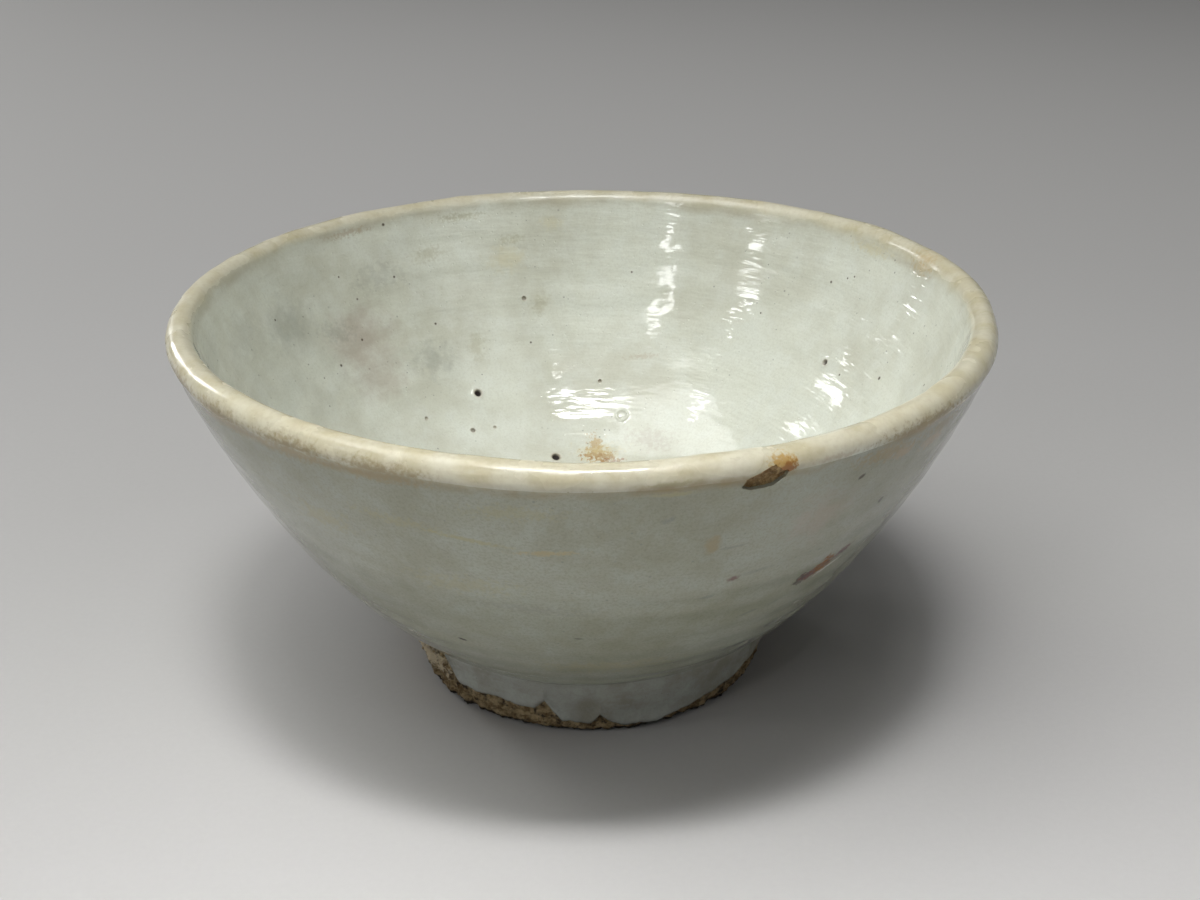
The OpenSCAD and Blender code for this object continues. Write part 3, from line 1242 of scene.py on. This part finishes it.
    @staticmethod
    def _glaze_skin() -> bpy.types.NodeTree:
        """Give the fine relief of a thick glaze: soft peel, level ripple and pinpricks, in millimetres."""
        group = Group(
            "glaze_skin", {"Position": None, "Peel": 0.012, "Ripple": 0.02, "Pricks": 0.03}, ("Height",))
        place = group["Position"]
        level = group.vector("MULTIPLY", place, (0.22, 0.22, 1.0))
        peel = group.noise(place, 0.45, 4.0, 0.60) - 0.5
        ripple = group.noise(level, 0.62, 2.0, 0.55) - 0.5
        prick = group.spread(group.cells(place, 0.6)[0], 0.16, 0.04)
        group["Height"] = peel * group["Peel"] + ripple * group["Ripple"] - prick * group["Pricks"]
        return group.tree

    @staticmethod
    def _clay_grain() -> bpy.types.NodeTree:
        """Give the grain of coarse fired clay: a tone, sooty spots and a relief in millimetres."""
        group = Group("clay_grain", {"Position": None, "Size": 1.0}, ("Tone", "Soot", "Height"))
        place, scale = group["Position"], 1.0 / group["Size"]
        shifted = group.vector("ADD", place, (31.0, 17.0, 5.0))
        group["Tone"] = group.spread(group.noise(place, scale * 0.55, 6.0, 0.70), 0.38, 0.62)
        group["Soot"] = group.spread(group.noise(shifted, scale * 0.42, 6.0, 0.72), 0.50, 0.64)
        group["Height"] = group.noise(place, scale * 1.6, 6.0, 0.7)
        return group.tree


@dataclass(frozen=True)
class Mark:
    """A stain, streak or smudge in the glaze; the bands under the lip on the left are partly painted shade.

    Attributes:
        side: the face of the wall that it is on.
        azimuth: its place round the bowl, in degrees from +X.
        level: its radius on the inside, its height on the outside, or its distance along the round
            of the lip from the outside edge, in millimetres.
        across: its half width round the bowl, in millimetres.
        tall: its half height, in millimetres.
        colour: the mark's colour.
        strength: how much of the glaze's colour it covers.
        tilt: how far it is turned in the wall, in degrees.
        ragged: how broken its edge is.
        softness: how much of it is edge.
    """

    side: Side
    azimuth: float
    level: float
    across: float
    tall: float
    colour: Colour
    strength: float = 0.6
    tilt: float = 0.0
    ragged: float = 0.7
    softness: float = 0.95


@dataclass(frozen=True)
class Speck:
    """A dark iron speck in the inside glaze: its azimuth, radius and half size."""

    azimuth: float
    radius: float
    size: float


# Near black: the dark clay in the pinholes with painted shade of their depth, and the painted contact
# shadow at the foot's standing edge.
BURNT_AND_SHADE = paint(26, 16, 9)
IRON = paint(58, 38, 22)
RUST = paint(140, 92, 44)
AMBER = paint(180, 146, 84)
OCHRE = paint(176, 156, 112)
# Olive-brown crust; in the bands under the lip on the left it is partly painted shade under the bead.
CRUST_AND_SHADE = paint(150, 134, 98)
OLIVE = paint(160, 154, 118)
STRAW = paint(206, 198, 160)
ROSE = paint(170, 156, 142)
PLUM = paint(112, 74, 70)
PALE = paint(206, 208, 194)
SMOKE = paint(128, 130, 122)
TAN = paint(170, 152, 124)

INSIDE_MARKS = (
    Mark(Side.INSIDE, 87.5, 38.6, 1.9, 2.6, AMBER, 0.62, tilt=-20.0, ragged=0.8, softness=0.6),
    Mark(Side.INSIDE, 86.5, 36.4, 3.6, 1.3, AMBER, 0.75, ragged=0.9, softness=0.6),
    Mark(Side.INSIDE, 84.0, 35.6, 5.2, 0.7, RUST, 0.60, tilt=6.0, ragged=1.0, softness=0.6),
    Mark(Side.INSIDE, 85.0, 37.0, 7.0, 3.4, STRAW, 0.45),
    Mark(Side.INSIDE, 166.0, 61.0, 34.0, 17.0, SMOKE, 0.20, ragged=0.3, softness=1.0),
    Mark(Side.INSIDE, 141.2, 61.2, 13.0, 10.5, ROSE, 0.62, ragged=0.28, softness=1.0),
    Mark(Side.INSIDE, 141.0, 56.5, 11.0, 7.5, ROSE, 0.42, ragged=0.3, softness=1.0),
    Mark(Side.INSIDE, 146.0, 62.5, 6.0, 3.0, SMOKE, 0.22, tilt=20.0, softness=0.9),
    Mark(Side.INSIDE, 126.2, 56.7, 8.0, 5.0, SMOKE, 0.34, ragged=0.45, softness=1.0),
    Mark(Side.INSIDE, 157.9, 65.1, 11.0, 8.0, SMOKE, 0.34, ragged=0.35, softness=1.0),
    Mark(Side.INSIDE, 171.0, 66.5, 11.0, 6.0, SMOKE, 0.20, ragged=0.35, softness=1.0),
    Mark(Side.INSIDE, 133.0, 66.0, 9.0, 4.0, SMOKE, 0.20),
    Mark(Side.INSIDE, 121.0, 67.0, 5.0, 2.2, OLIVE, 0.34, ragged=0.6),
    Mark(Side.INSIDE, 105.2, 65.8, 6.0, 4.4, STRAW, 0.45, ragged=0.4, softness=1.0),
    Mark(Side.INSIDE, 104.0, 67.4, 4.0, 1.4, OLIVE, 0.35),
    Mark(Side.INSIDE, 99.5, 61.3, 2.2, 3.6, OLIVE, 0.38, tilt=25.0, ragged=0.6),
    Mark(Side.INSIDE, 96.0, 68.6, 4.0, 2.2, STRAW, 0.35, ragged=0.4, softness=1.0),
    Mark(Side.INSIDE, 115.0, 57.4, 2.6, 4.6, OLIVE, 0.30, tilt=10.0, ragged=0.6),
    Mark(Side.INSIDE, 113.0, 69.6, 7.0, 1.2, OLIVE, 0.45),
    Mark(Side.INSIDE, 136.0, 69.9, 8.0, 1.0, TAN, 0.50, ragged=0.8),
    Mark(Side.INSIDE, 16.0, 70.0, 5.0, 2.0, AMBER, 0.34),
    Mark(Side.INSIDE, 30.0, 69.6, 8.0, 1.6, STRAW, 0.45),
    Mark(Side.INSIDE, 77.0, 55.0, 5.0, 0.7, TAN, 0.34, tilt=-8.0, softness=0.9),
    Mark(Side.INSIDE, 70.0, 41.0, 7.0, 3.0, ROSE, 0.30),
)
OUTSIDE_MARKS = (
    Mark(Side.OUTSIDE, -74.0, 57.6, 1.7, 2.8, CRUST_AND_SHADE, 0.62, ragged=0.25, softness=0.6),
    # Bands under the bead on the left: partly an olive-brown tint, partly painted shade under the bead.
    *(Mark(Side.OUTSIDE, azimuth, 69.8, 11.0, 1.7, CRUST_AND_SHADE, 0.75, ragged=0.5)
      for azimuth in range(-178, -100, 13)),
    Mark(Side.OUTSIDE, -69.4, 48.3, 1.5, 0.8, PLUM, 0.75, tilt=10.0, ragged=0.35, softness=0.7),
    Mark(Side.OUTSIDE, -66.0, 49.0, 4.5, 0.7, SMOKE, 0.45, tilt=6.0, ragged=0.4, softness=0.9),
    Mark(Side.OUTSIDE, -55.4, 42.2, 1.5, 2.0, IRON, 0.80, tilt=-30.0, ragged=0.5, softness=0.5),
    Mark(Side.OUTSIDE, -54.0, 42.6, 2.4, 1.6, PLUM, 0.85, tilt=10.0, ragged=0.4, softness=0.5),
    Mark(Side.OUTSIDE, -51.6, 44.0, 2.5, 2.6, RUST, 0.95, tilt=26.0, ragged=0.5, softness=0.5),
    Mark(Side.OUTSIDE, -48.6, 45.8, 2.8, 1.2, PLUM, 0.80, tilt=30.0, ragged=0.4, softness=0.6),
    Mark(Side.OUTSIDE, -50.0, 42.6, 4.2, 0.6, PALE, 0.70, tilt=28.0, ragged=0.3, softness=0.7),
    Mark(Side.OUTSIDE, -51.0, 68.4, 9.0, 2.2, CRUST_AND_SHADE, 0.70, softness=0.9),
    Mark(Side.OUTSIDE, -40.0, 68.0, 8.0, 2.6, CRUST_AND_SHADE, 0.60, softness=0.9),
    Mark(Side.OUTSIDE, -72.5, 44.6, 1.6, 0.5, SMOKE, 0.70, tilt=10.0, ragged=0.5, softness=0.8),
    Mark(Side.OUTSIDE, -63.0, 36.5, 2.2, 0.5, SMOKE, 0.60, tilt=20.0, ragged=0.6, softness=0.8),
    Mark(Side.OUTSIDE, -58.0, 37.5, 2.4, 0.4, SMOKE, 0.50, tilt=20.0, ragged=0.6, softness=0.8),
    Mark(Side.OUTSIDE, -54.4, 65.0, 0.9, 0.6, IRON, 0.80, tilt=30.0, ragged=0.2, softness=0.6),
    Mark(Side.OUTSIDE, -47.0, 56.6, 0.7, 0.8, IRON, 0.80, ragged=0.2, softness=0.6),
    Mark(Side.OUTSIDE, -113.0, 30.4, 0.9, 0.35, IRON, 0.95, tilt=-12.0, ragged=0.1, softness=0.4),
    Mark(Side.OUTSIDE, -91.5, 35.0, 1.0, 0.3, IRON, 0.50, ragged=0.1, softness=0.6),
    Mark(Side.OUTSIDE, -80.0, 69.4, 4.0, 0.6, OLIVE, 0.70, ragged=0.5, softness=0.8),
    Mark(Side.OUTSIDE, -80.3, 64.2, 1.7, 0.8, SMOKE, 0.55, tilt=14.0, ragged=0.5, softness=0.8),
    Mark(Side.OUTSIDE, -71.0, 56.4, 3.2, 0.4, SMOKE, 0.50, tilt=4.0, ragged=0.3, softness=0.8),
    Mark(Side.OUTSIDE, -94.5, 57.6, 6.5, 0.7, OCHRE, 0.55, tilt=3.0, ragged=0.5, softness=0.8),
    Mark(Side.OUTSIDE, -104.0, 59.2, 8.0, 0.6, OLIVE, 0.60, tilt=-8.0, ragged=0.5, softness=0.8),
    Mark(Side.OUTSIDE, -113.0, 61.0, 9.0, 1.6, OLIVE, 0.50, tilt=-4.0),
    Mark(Side.OUTSIDE, -126.0, 57.0, 8.0, 3.5, OLIVE, 0.45),
    Mark(Side.OUTSIDE, -108.0, 48.0, 12.0, 3.0, OLIVE, 0.35, ragged=0.8),
    Mark(Side.OUTSIDE, -98.0, 66.0, 9.0, 2.2, OLIVE, 0.40, ragged=0.8),
    Mark(Side.OUTSIDE, -98.0, 43.0, 14.0, 1.6, SMOKE, 0.30, tilt=-4.0, ragged=0.8),
    Mark(Side.OUTSIDE, -48.0, 67.0, 3.6, 1.6, TAN, 0.75, softness=0.8),
    Mark(Side.OUTSIDE, -41.0, 66.0, 4.4, 1.8, TAN, 0.70, softness=0.8),
    Mark(Side.OUTSIDE, -59.0, 59.0, 7.0, 8.0, ROSE, 0.45, ragged=0.5),
    Mark(Side.OUTSIDE, -86.0, 24.0, 16.0, 4.0, OLIVE, 0.40),
    Mark(Side.OUTSIDE, 60.0, 52.0, 7.0, 0.7, OLIVE, 0.60, tilt=3.0, ragged=0.5, softness=0.8),
    Mark(Side.OUTSIDE, 112.0, 44.0, 1.3, 1.8, TAN, 0.60, ragged=0.2, softness=0.5),
    Mark(Side.OUTSIDE, 20.0, 40.0, 12.0, 4.0, OLIVE, 0.40),
    Mark(Side.OUTSIDE, 150.0, 61.0, 5.0, 1.6, OLIVE, 0.55, ragged=0.6, softness=0.8),
)
LIP_EDGE_STAIN = Mark(Side.LIP, 16.0, 6.6, 5.0, 1.6, AMBER, 0.34)
LIP_MARKS = (
    Mark(Side.LIP, -67.2, 1.5, 2.9, 2.0, AMBER, 0.92, tilt=-6.0, ragged=0.5, softness=0.6),
    Mark(Side.LIP, -66.9, 0.6, 2.0, 1.4, RUST, 0.85, tilt=20.0, ragged=0.6, softness=0.6),
    Mark(Side.LIP, -80.0, 0.8, 5.0, 0.6, OLIVE, 0.55, ragged=0.6, softness=0.8),
    Mark(Side.LIP, -44.0, 0.6, 16.0, 1.8, CRUST_AND_SHADE, 0.75, softness=0.9),
    Mark(Side.LIP, -60.0, 0.7, 6.0, 0.8, TAN, 0.45, ragged=0.8, softness=0.9),
    # Bands at the lip's outer edge on the left: partly an olive-brown tint, partly painted shade under the
    # bead.
    *(Mark(Side.LIP, azimuth, 0.2, 11.0, 2.4, CRUST_AND_SHADE, 0.80, ragged=0.5)
      for azimuth in range(-178, -100, 13)),
    LIP_EDGE_STAIN,
)
SPECKS = (
    Speck(141.0, 61.1, 0.40), Speck(149.0, 59.6, 0.45), Speck(128.2, 69.9, 0.50), Speck(37.1, 66.3, 0.40),
    Speck(33.5, 67.0, 0.30), Speck(32.0, 67.3, 0.30), Speck(11.9, 61.1, 0.55), Speck(160.1, 65.9, 0.35),
    Speck(140.7, 66.9, 0.32), Speck(129.0, 65.7, 0.38), Speck(123.0, 60.6, 0.40), Speck(102.5, 56.9, 0.35),
    Speck(80.2, 64.3, 0.32), Speck(24.0, 59.0, 0.35), Speck(51.0, 62.0, 0.30))


class Place:
    """Turn places on the bowl into the inputs of a patch or a spot."""

    def __init__(self, form: BowlForm) -> None:
        """Keep the form that the places are on."""
        self.form = form

    def point(self, side: Side, azimuth: float, level: float) -> Array:
        """Give a place's point on the warped surface, in millimetres."""
        form = self.form
        if side is Side.INSIDE:
            path = form.inside_path(level)
        elif side is Side.OUTSIDE:
            path = form.outside_path(level)
        else:
            path = form.lip_start + level
        turn = np.array([math.radians(azimuth)])
        return form.points(turn, np.array([path]), pitted=False)[0]

    def of(self, mark: Mark) -> dict[str, float]:
        """Give a mark's azimuth, radius and height, as the warped bowl has them."""
        x, y, height = self.point(mark.side, mark.azimuth, mark.level)
        return {"Azimuth": math.atan2(y, x), "Radius": math.hypot(x, y), "Height": float(height)}


class Coat(Tree):
    """A material with one Principled shader, whose colour is laid on in layers."""

    def __init__(self, name: str) -> None:
        """Start the material.

        Args:
            name: the material's name.
        """
        self.material = bpy.data.materials.new(name)
        self.material.use_nodes = True
        super().__init__(self.material.node_tree)
        self.tree.nodes.clear()
        self.shader = self.add("BsdfPrincipled")
        self.tree.links.new(self.shader.outputs[0], self.add("OutputMaterial").inputs[0])
        scale = self.add("VectorMath", operation="SCALE")
        self.tree.links.new(self.add("TexCoord").outputs["Object"], scale.inputs[0])
        scale.inputs["Scale"].default_value = 1.0 / MM
        self.position = Value(self, scale.outputs[0])
        self.colour: object = None

    def effect(self, shared: bpy.types.NodeTree, **values: object) -> dict[str, Value]:
        """Place a shared group at the position in millimetres, and give its outputs by name."""
        return self.group(shared, Position=self.position, **values)

    def cover(self, share: object, colour: object) -> None:
        """Lay a colour over the coat's own by a share."""
        self.colour = self.blend(share, self.colour, colour)

    def finish(self, rough: object, height: Value | None = None) -> bpy.types.Material:
        """Feed the shader.

        Args:
            rough: the roughness.
            height: the relief in millimetres, if there is one.

        Returns:
            The material.
        """
        self.put(self.shader.inputs["Base Color"], self.colour)
        self.put(self.shader.inputs["Roughness"], rough)
        if height is not None:
            bump = self.add("Bump")
            self.put(bump.inputs["Distance"], MM)
            self.put(bump.inputs["Height"], height)
            self.put(self.shader.inputs["Normal"], Value(self, bump.outputs[0]))
        return self.material


@dataclass(frozen=True)
class GlazeFinish:
    """A glossy milky glaze over brown clay.

    Attributes:
        name: the material's name.
        body: the glaze's colour.
        thin: its colour where it lies thin.
        curd: the colour of its paler, bluer curds.
        grit: the colour of its fine grit.
        streak: how strongly level streaks of the thin colour show.
        gritty: how strongly the grit shows.
        gloss: its lowest roughness.
        peel: the height of its fine relief, in millimetres.
        ripple: the height of the fine level ripple left by throwing, in millimetres.
        marks: the stains in it, and the bands under the lip that are partly painted shade.
        has_lip: whether the ivory bead reaches into this zone.
        has_pits: whether the pinholes and specks are in this zone.
    """

    name: str
    body: Colour
    thin: Colour
    curd: Colour
    grit: Colour
    streak: float = 0.3
    gritty: float = 0.35
    gloss: float = 0.10
    peel: float = 0.02
    ripple: float = 0.14
    marks: tuple[Mark, ...] = ()
    has_lip: bool = True
    has_pits: bool = False
    ivory: Colour = paint(204, 200, 178)
    ivory_thin: Colour = paint(190, 183, 154)
    ochre_line: Colour = paint(142, 124, 84)

    def material(self, effects: Effects, form: BowlForm) -> bpy.types.Material:
        """Lay the glaze's nodes.

        Args:
            effects: the shared shader groups.
            form: the bowl's form, for the places of the marks.

        Returns:
            The material.
        """
        coat = Coat(self.name)
        coat.put(coat.shader.inputs["IOR"], 1.52)
        self._body(coat, effects)
        wear = coat.effect(effects.clouds, Size=9.0, Low=0.40, High=0.75)["Tone"]
        rough = coat.spread(wear, 0.0, 1.0, self.gloss, self.gloss + 0.12)
        if self.has_lip:
            lip = self._lipped(coat, effects, form)
            patches = coat.effect(effects.clouds, Size=16.0, Low=0.40, High=0.62)["Tone"]
            rough = rough + lip * coat.spread(patches, 0.0, 1.0, 0.08, 0.30)
        self._marked(coat, effects, form)
        if self.has_pits:
            rough = rough + self._pitted(coat, effects, form) * 0.7
        skin = coat.effect(effects.glaze_skin, Peel=self.peel, Ripple=self.ripple, Pricks=0.03)
        return coat.finish(rough, skin["Height"])

    def _body(self, coat: Coat, effects: Effects) -> None:
        """Lay the glaze's own colour, with drifts, curds, streaks, grit and iron specks."""
        milk = coat.effect(effects.milk, Grit_Size=0.5)
        coat.colour = self.body
        coat.cover(milk["Drift"], self.thin)
        coat.cover(milk["Curd"] * 0.35, self.curd)
        coat.cover(milk["Streak"] * self.streak, self.thin)
        coat.cover(milk["Grit"] * self.gritty, self.grit)
        dust = coat.effect(effects.specks, Spacing=1.3, Size=0.26, Share=0.35)["Mask"]
        thick = coat.effect(effects.clouds, Size=18.0, Low=0.42, High=0.62)["Tone"]
        coat.cover(dust * thick * 0.75, SMOKE)
        coat.cover(coat.effect(effects.specks, Spacing=7.0, Size=0.30, Share=0.30)["Mask"] * 0.70, IRON)

    def _marked(self, coat: Coat, effects: Effects, form: BowlForm) -> None:
        """Lay the marks over the colour: stains, and bands under the lip that are partly painted shade."""
        place = Place(form)
        for mark in self.marks:
            patch = coat.effect(
                effects.patch, Across=mark.across, Tall=mark.tall, Tilt=math.radians(mark.tilt),
                Ragged=mark.ragged, Softness=mark.softness, Grain=max(0.7, 0.35 * mark.tall),
                **place.of(mark))
            coat.cover(patch["Mask"] * mark.strength, mark.colour)

    def _pitted(self, coat: Coat, effects: Effects, form: BowlForm) -> Value:
        """Paint the pinholes near black, for their dark clay and painted shade of their depth, and lay the
        iron specks, each with its faint rusty halo.

        Args:
            coat: the material being laid.
            effects: the shared shader groups.
            form: the bowl's form.

        Returns:
            The share of pinhole.
        """
        place = Place(form)
        holes: Value | float = 0.0
        for pit in form.pits:
            middle = tuple(place.point(Side.INSIDE, pit.azimuth, pit.radius))
            halo = coat.effect(effects.spot, Middle=middle, Size=0.72 * pit.width, Softness=0.7)["Mask"]
            coat.cover(halo * 0.45, RUST)
            # The hole's core: near black for the dark clay and painted shade of the hole's depth.
            hole = coat.effect(effects.spot, Middle=middle, Size=0.46 * pit.width, Softness=0.3)["Mask"]
            coat.cover(hole, BURNT_AND_SHADE)
            holes = coat.calc("MAXIMUM", holes, hole)
        for speck in SPECKS:
            middle = tuple(place.point(Side.INSIDE, speck.azimuth, speck.radius))
            dot = coat.effect(effects.spot, Middle=middle, Size=speck.size, Softness=0.7)["Mask"]
            coat.cover(dot * 0.85, IRON)
        return holes

    def _lipped(self, coat: Coat, effects: Effects, form: BowlForm) -> Value:
        """Lay the ivory bead and the ochre line under it over the wall's colour.

        Args:
            coat: the material being laid.
            effects: the shared shader groups.
            form: the bowl's form.

        Returns:
            The share of ivory.
        """
        lip = coat.effect(effects.lip_wear, Rim_Height=form.height, Rim_Radius=form.rim_radius,
                          Lip_Radius=form.lip_radius)
        coat.cover(lip["Ochre"] * coat.spread(lip["Outside"], 0, 1, 0.35, 0.9), self.ochre_line)
        broad = coat.effect(effects.clouds, Size=6.0, Low=0.36, High=0.68)["Tone"]
        fine = coat.effect(effects.clouds, Size=0.9, Low=0.42, High=0.72)["Tone"]
        ivory = coat.blend(broad, self.ivory, self.ivory_thin)
        ivory = coat.blend(fine * 0.15, ivory, self.ochre_line)
        coat.cover(lip["Ivory"], ivory)
        return lip["Ivory"]


@dataclass(frozen=True)
class ClayFinish:
    """Coarse fired clay, sooty in places and pale where freshly broken; the foot's break is painted
    brighter still, as painted light, and its standing edge carries a painted contact shadow.
    """

    name: str
    pale: Colour
    dark: Colour
    soot: Colour
    fresh_and_lit: Colour
    soot_share: float = 0.8
    size: float = 1.0

    def material(self, effects: Effects, foot: FootForm) -> bpy.types.Material:
        """Lay the clay's nodes.

        Args:
            effects: the shared shader groups.
            foot: the foot's form, for the places of its chip and of the painted contact shadow at its
                standing edge.

        Returns:
            The material.
        """
        coat = Coat(self.name)
        grain = coat.effect(effects.clay_grain, Size=self.size)
        coat.colour = self.dark
        coat.cover(grain["Tone"], self.pale)
        coat.cover(grain["Soot"] * self.soot_share, self.soot)
        chip = coat.effect(
            effects.patch, Azimuth=math.radians(foot.chip_azimuth), Radius=foot.radius,
            Height=0.62 * foot.top, Across=8.0, Tall=4.6, Ragged=0.5, Softness=0.4, Grain=1.5)
        # The pale break: fresh broken clay, which on the foot is painted brighter still, as painted light
        # on its left side.
        coat.cover(chip["Mask"] * 0.85, self.fresh_and_lit)
        # Painted contact shadow: the clay is painted near black along the standing edge, up to about a
        # millimetre above the floor.
        height = coat.lay("SeparateXYZ", coat.position)[2]
        painted_contact_shadow = coat.spread(height, foot.painted_shadow_top + 0.35, foot.painted_shadow_top - 0.1)
        coat.cover(painted_contact_shadow * 0.93, BURNT_AND_SHADE)
        return coat.finish(coat.spread(grain["Tone"], 0.0, 1.0, 0.95, 0.75), grain["Height"])


@dataclass(frozen=True)
class Lamp:
    """A soft rectangular studio lamp.

    Attributes:
        name: what it is.
        azimuth: where it stands round the bowl, in degrees from +X.
        elevation: its height above level, in degrees.
        distance: how far it is, in metres.
        size: its width and length, in metres.
        watts: its power.
        spread: how wide it shines, in degrees.
        aim: the place that it shines at.
    """

    name: str
    azimuth: float
    elevation: float
    distance: float
    size: tuple[float, float]
    watts: float
    spread: float = 180.0
    aim: tuple[float, float, float] = (0.0, 0.0, 0.03)

    def light(self) -> None:
        """Hang the lamp in the scene."""
        data = bpy.data.lights.new(self.name, "AREA")
        data.shape = "RECTANGLE"
        data.size, data.size_y = self.size
        data.energy = self.watts
        data.spread = math.radians(self.spread)
        lamp = bpy.data.objects.new(self.name, data)
        azimuth, elevation = math.radians(self.azimuth), math.radians(self.elevation)
        lamp.location = self.distance * Vector((
            math.cos(elevation) * math.cos(azimuth), math.cos(elevation) * math.sin(azimuth),
            math.sin(elevation)))
        lamp.rotation_euler = (lamp.location - Vector(self.aim)).to_track_quat("Z", "Y").to_euler()
        bpy.context.scene.collection.objects.link(lamp)


@dataclass(frozen=True)
class Studio:
    """The plain floor, the soft light and the camera. Lengths are in metres unless said."""

    floor_width: float = 8.0
    floor_colour: Colour = paint(186, 185, 183)
    room_light: float = 0.03
    lens: float = 45.0
    eye: tuple[float, float, float] = (0.0, -0.2636, 0.1642)
    aim: tuple[float, float, float] = (0.0021, 0.0, 0.0421)
    roll: float = -0.31
    lamps: tuple[Lamp, ...] = (
        Lamp("overhead_softbox", 0.0, 90.0, 1.2, (1.2, 1.2), 0.95),
        Lamp("ceiling_strip", -93.0, 76.0, 1.5, (0.62, 0.06), 5.0),
        Lamp("front_strip", -75.0, 54.0, 1.6, (0.10, 0.04), 0.4),
        Lamp("front_top_fill", -118.0, 57.0, 1.7, (1.3, 1.0), 3.2),
        Lamp("left_key", 180.0, 67.0, 1.7, (1.1, 1.1), 10.6),
        Lamp("front_right_fill", -45.0, 42.0, 1.6, (0.8, 0.8), 1.4),
        Lamp("far_panel", -124.0, 34.0, 1.6, (0.08, 0.42), 1.3),
        Lamp("far_left_panel", -157.0, 27.0, 1.6, (0.12, 0.20), 1.0),
        Lamp("high_left_panel", -168.0, 53.0, 1.6, (0.20, 0.06), 0.5),
        Lamp("low_window", 132.0, 15.0, 1.6, (0.26, 0.26), 1.9),
        Lamp("high_window", 142.0, 26.0, 1.6, (0.24, 0.30), 2.0),
        Lamp("near_spot", -90.0, 76.0, 1.24, (0.25, 0.15), 0.20, 22.0, (0.0, -0.22, 0.0)),
        Lamp("near_wash", -90.0, 76.0, 1.24, (0.25, 0.15), 0.42, 48.0, (0.0, -0.30, 0.0)),
    )

    def build(self) -> None:
        """Set up the floor, the lamps, the room's light and the camera."""
        self._floor()
        for lamp in self.lamps:
            lamp.light()
        world = bpy.data.worlds.new("room")
        world.use_nodes = True
        back = world.node_tree.nodes["Background"]
        back.inputs["Color"].default_value = paint(214, 216, 218)
        back.inputs["Strength"].default_value = self.room_light
        bpy.context.scene.world = world
        bpy.context.scene.view_settings.view_transform = "Standard"
        self._camera()

    def _floor(self) -> None:
        """Lay the floor that the bowl stands on."""
        half = 0.5 * self.floor_width / MM
        corners = np.array([(-half, -half, 0), (half, -half, 0), (half, half, 0), (-half, half, 0)], float)
        floor = make_mesh("floor", corners, [(0, 1, 2, 3)])
        coat = Coat("floor_paper")
        coat.colour = tuple(0.94 * part for part in self.floor_colour[:3]) + (1.0,)
        coat.cover(coat.noise(coat.position, 0.8, 4.0, 0.6), self.floor_colour)
        floor.data.materials.append(coat.finish(0.7))

    def _camera(self) -> None:
        """Stand the camera in front of the bowl, looking down into it."""
        data = bpy.data.cameras.new("camera")
        data.lens = self.lens
        data.clip_start = 0.01
        camera = bpy.data.objects.new("camera", data)
        eye, aim = Vector(self.eye), Vector(self.aim)
        look = (aim - eye).to_track_quat("-Z", "Y").to_matrix().to_4x4()
        roll = Matrix.Rotation(math.radians(self.roll), 4, "Z")
        camera.matrix_world = Matrix.Translation(eye) @ look @ roll
        bpy.context.scene.collection.objects.link(camera)
        bpy.context.scene.camera = camera


INSIDE_GLAZE = GlazeFinish(
    "glaze_inside", paint(218, 221, 208), paint(202, 203, 188), paint(224, 229, 221), paint(176, 174, 156),
    streak=0.12, gritty=0.22, gloss=0.05, marks=(*INSIDE_MARKS, LIP_EDGE_STAIN), has_pits=True)
LIP_GLAZE = GlazeFinish(
    "glaze_on_lip", paint(218, 221, 208), paint(202, 203, 188), paint(224, 229, 221), paint(176, 174, 156),
    streak=0.12, gritty=0.22, gloss=0.05, marks=LIP_MARKS)
OUTSIDE_GLAZE = GlazeFinish(
    "glaze_outside", paint(160, 163, 148), paint(148, 149, 130), paint(168, 172, 161), paint(118, 114, 92),
    streak=0.32, gritty=0.30, gloss=0.07, ripple=0.05, marks=OUTSIDE_MARKS)
FOOT_GLAZE = GlazeFinish(
    "glaze_on_foot", paint(164, 166, 158), paint(144, 142, 128), paint(198, 204, 200), paint(126, 124, 110),
    streak=0.35, gritty=0.22, gloss=0.04, ripple=0.0, has_lip=False)
# The foot's break colour is painted far paler than the broken clay, as painted light on the foot's left
# side.
FOOT_CLAY = ClayFinish(
    "clay_of_foot", paint(208, 184, 140), paint(128, 104, 68), paint(40, 30, 20), paint(250, 236, 204),
    soot_share=0.9)
CHIP_CLAY = ClayFinish(
    "clay_in_chip", paint(204, 174, 124), paint(162, 128, 82), paint(96, 70, 42), paint(206, 178, 130),
    soot_share=0.6, size=0.6)


def dress(piece: Piece, material: bpy.types.Material, slot: str, *nodes: str) -> None:
    """Give a piece its material, tie it to the frame and report it.

    Args:
        piece: the finished piece.
        material: its material.
        slot: the record's material slot of the piece; it is not used.
        nodes: the frame's nodes that it stands for.
    """
    piece.data.materials.append(material)
    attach(piece, BODY)
    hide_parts(*nodes)
    LOG.info("%s: %d faces, stands for %s", piece.name, len(piece.data.polygons), ", ".join(nodes))


def main() -> None:
    """Build the bowl, dress it and set up the studio."""
    logging.basicConfig(level=logging.INFO, format="%(name)s: %(message)s")
    Studio().build()
    form, foot, effects = BowlForm(), FootForm(), Effects()
    glaze = BowlGlaze(form)
    foot_glaze = FOOT_GLAZE.material(effects, form)
    dress(BowlClay(form).build(), CHIP_CLAY.material(effects, foot), "bare_clay", "bowl_wall")
    dress(FootClay(foot).build(), FOOT_CLAY.material(effects, foot), "bare_clay", "foot_ring")
    dress(glaze.inside(), INSIDE_GLAZE.material(effects, form), "inner_glaze", "inner_glaze")
    dress(glaze.lip(), LIP_GLAZE.material(effects, form), "lip_glaze", "lip_glaze")
    dress(glaze.outside(), OUTSIDE_GLAZE.material(effects, form), "outer_glaze", "outer_glaze")
    dress(FootGlaze(foot, form).build(), foot_glaze, "foot_glaze", "foot_glaze")
    dress(RecessGlaze(foot).build(), foot_glaze, "foot_glaze", "recess_glaze")


if __name__ == "__main__":
    main()
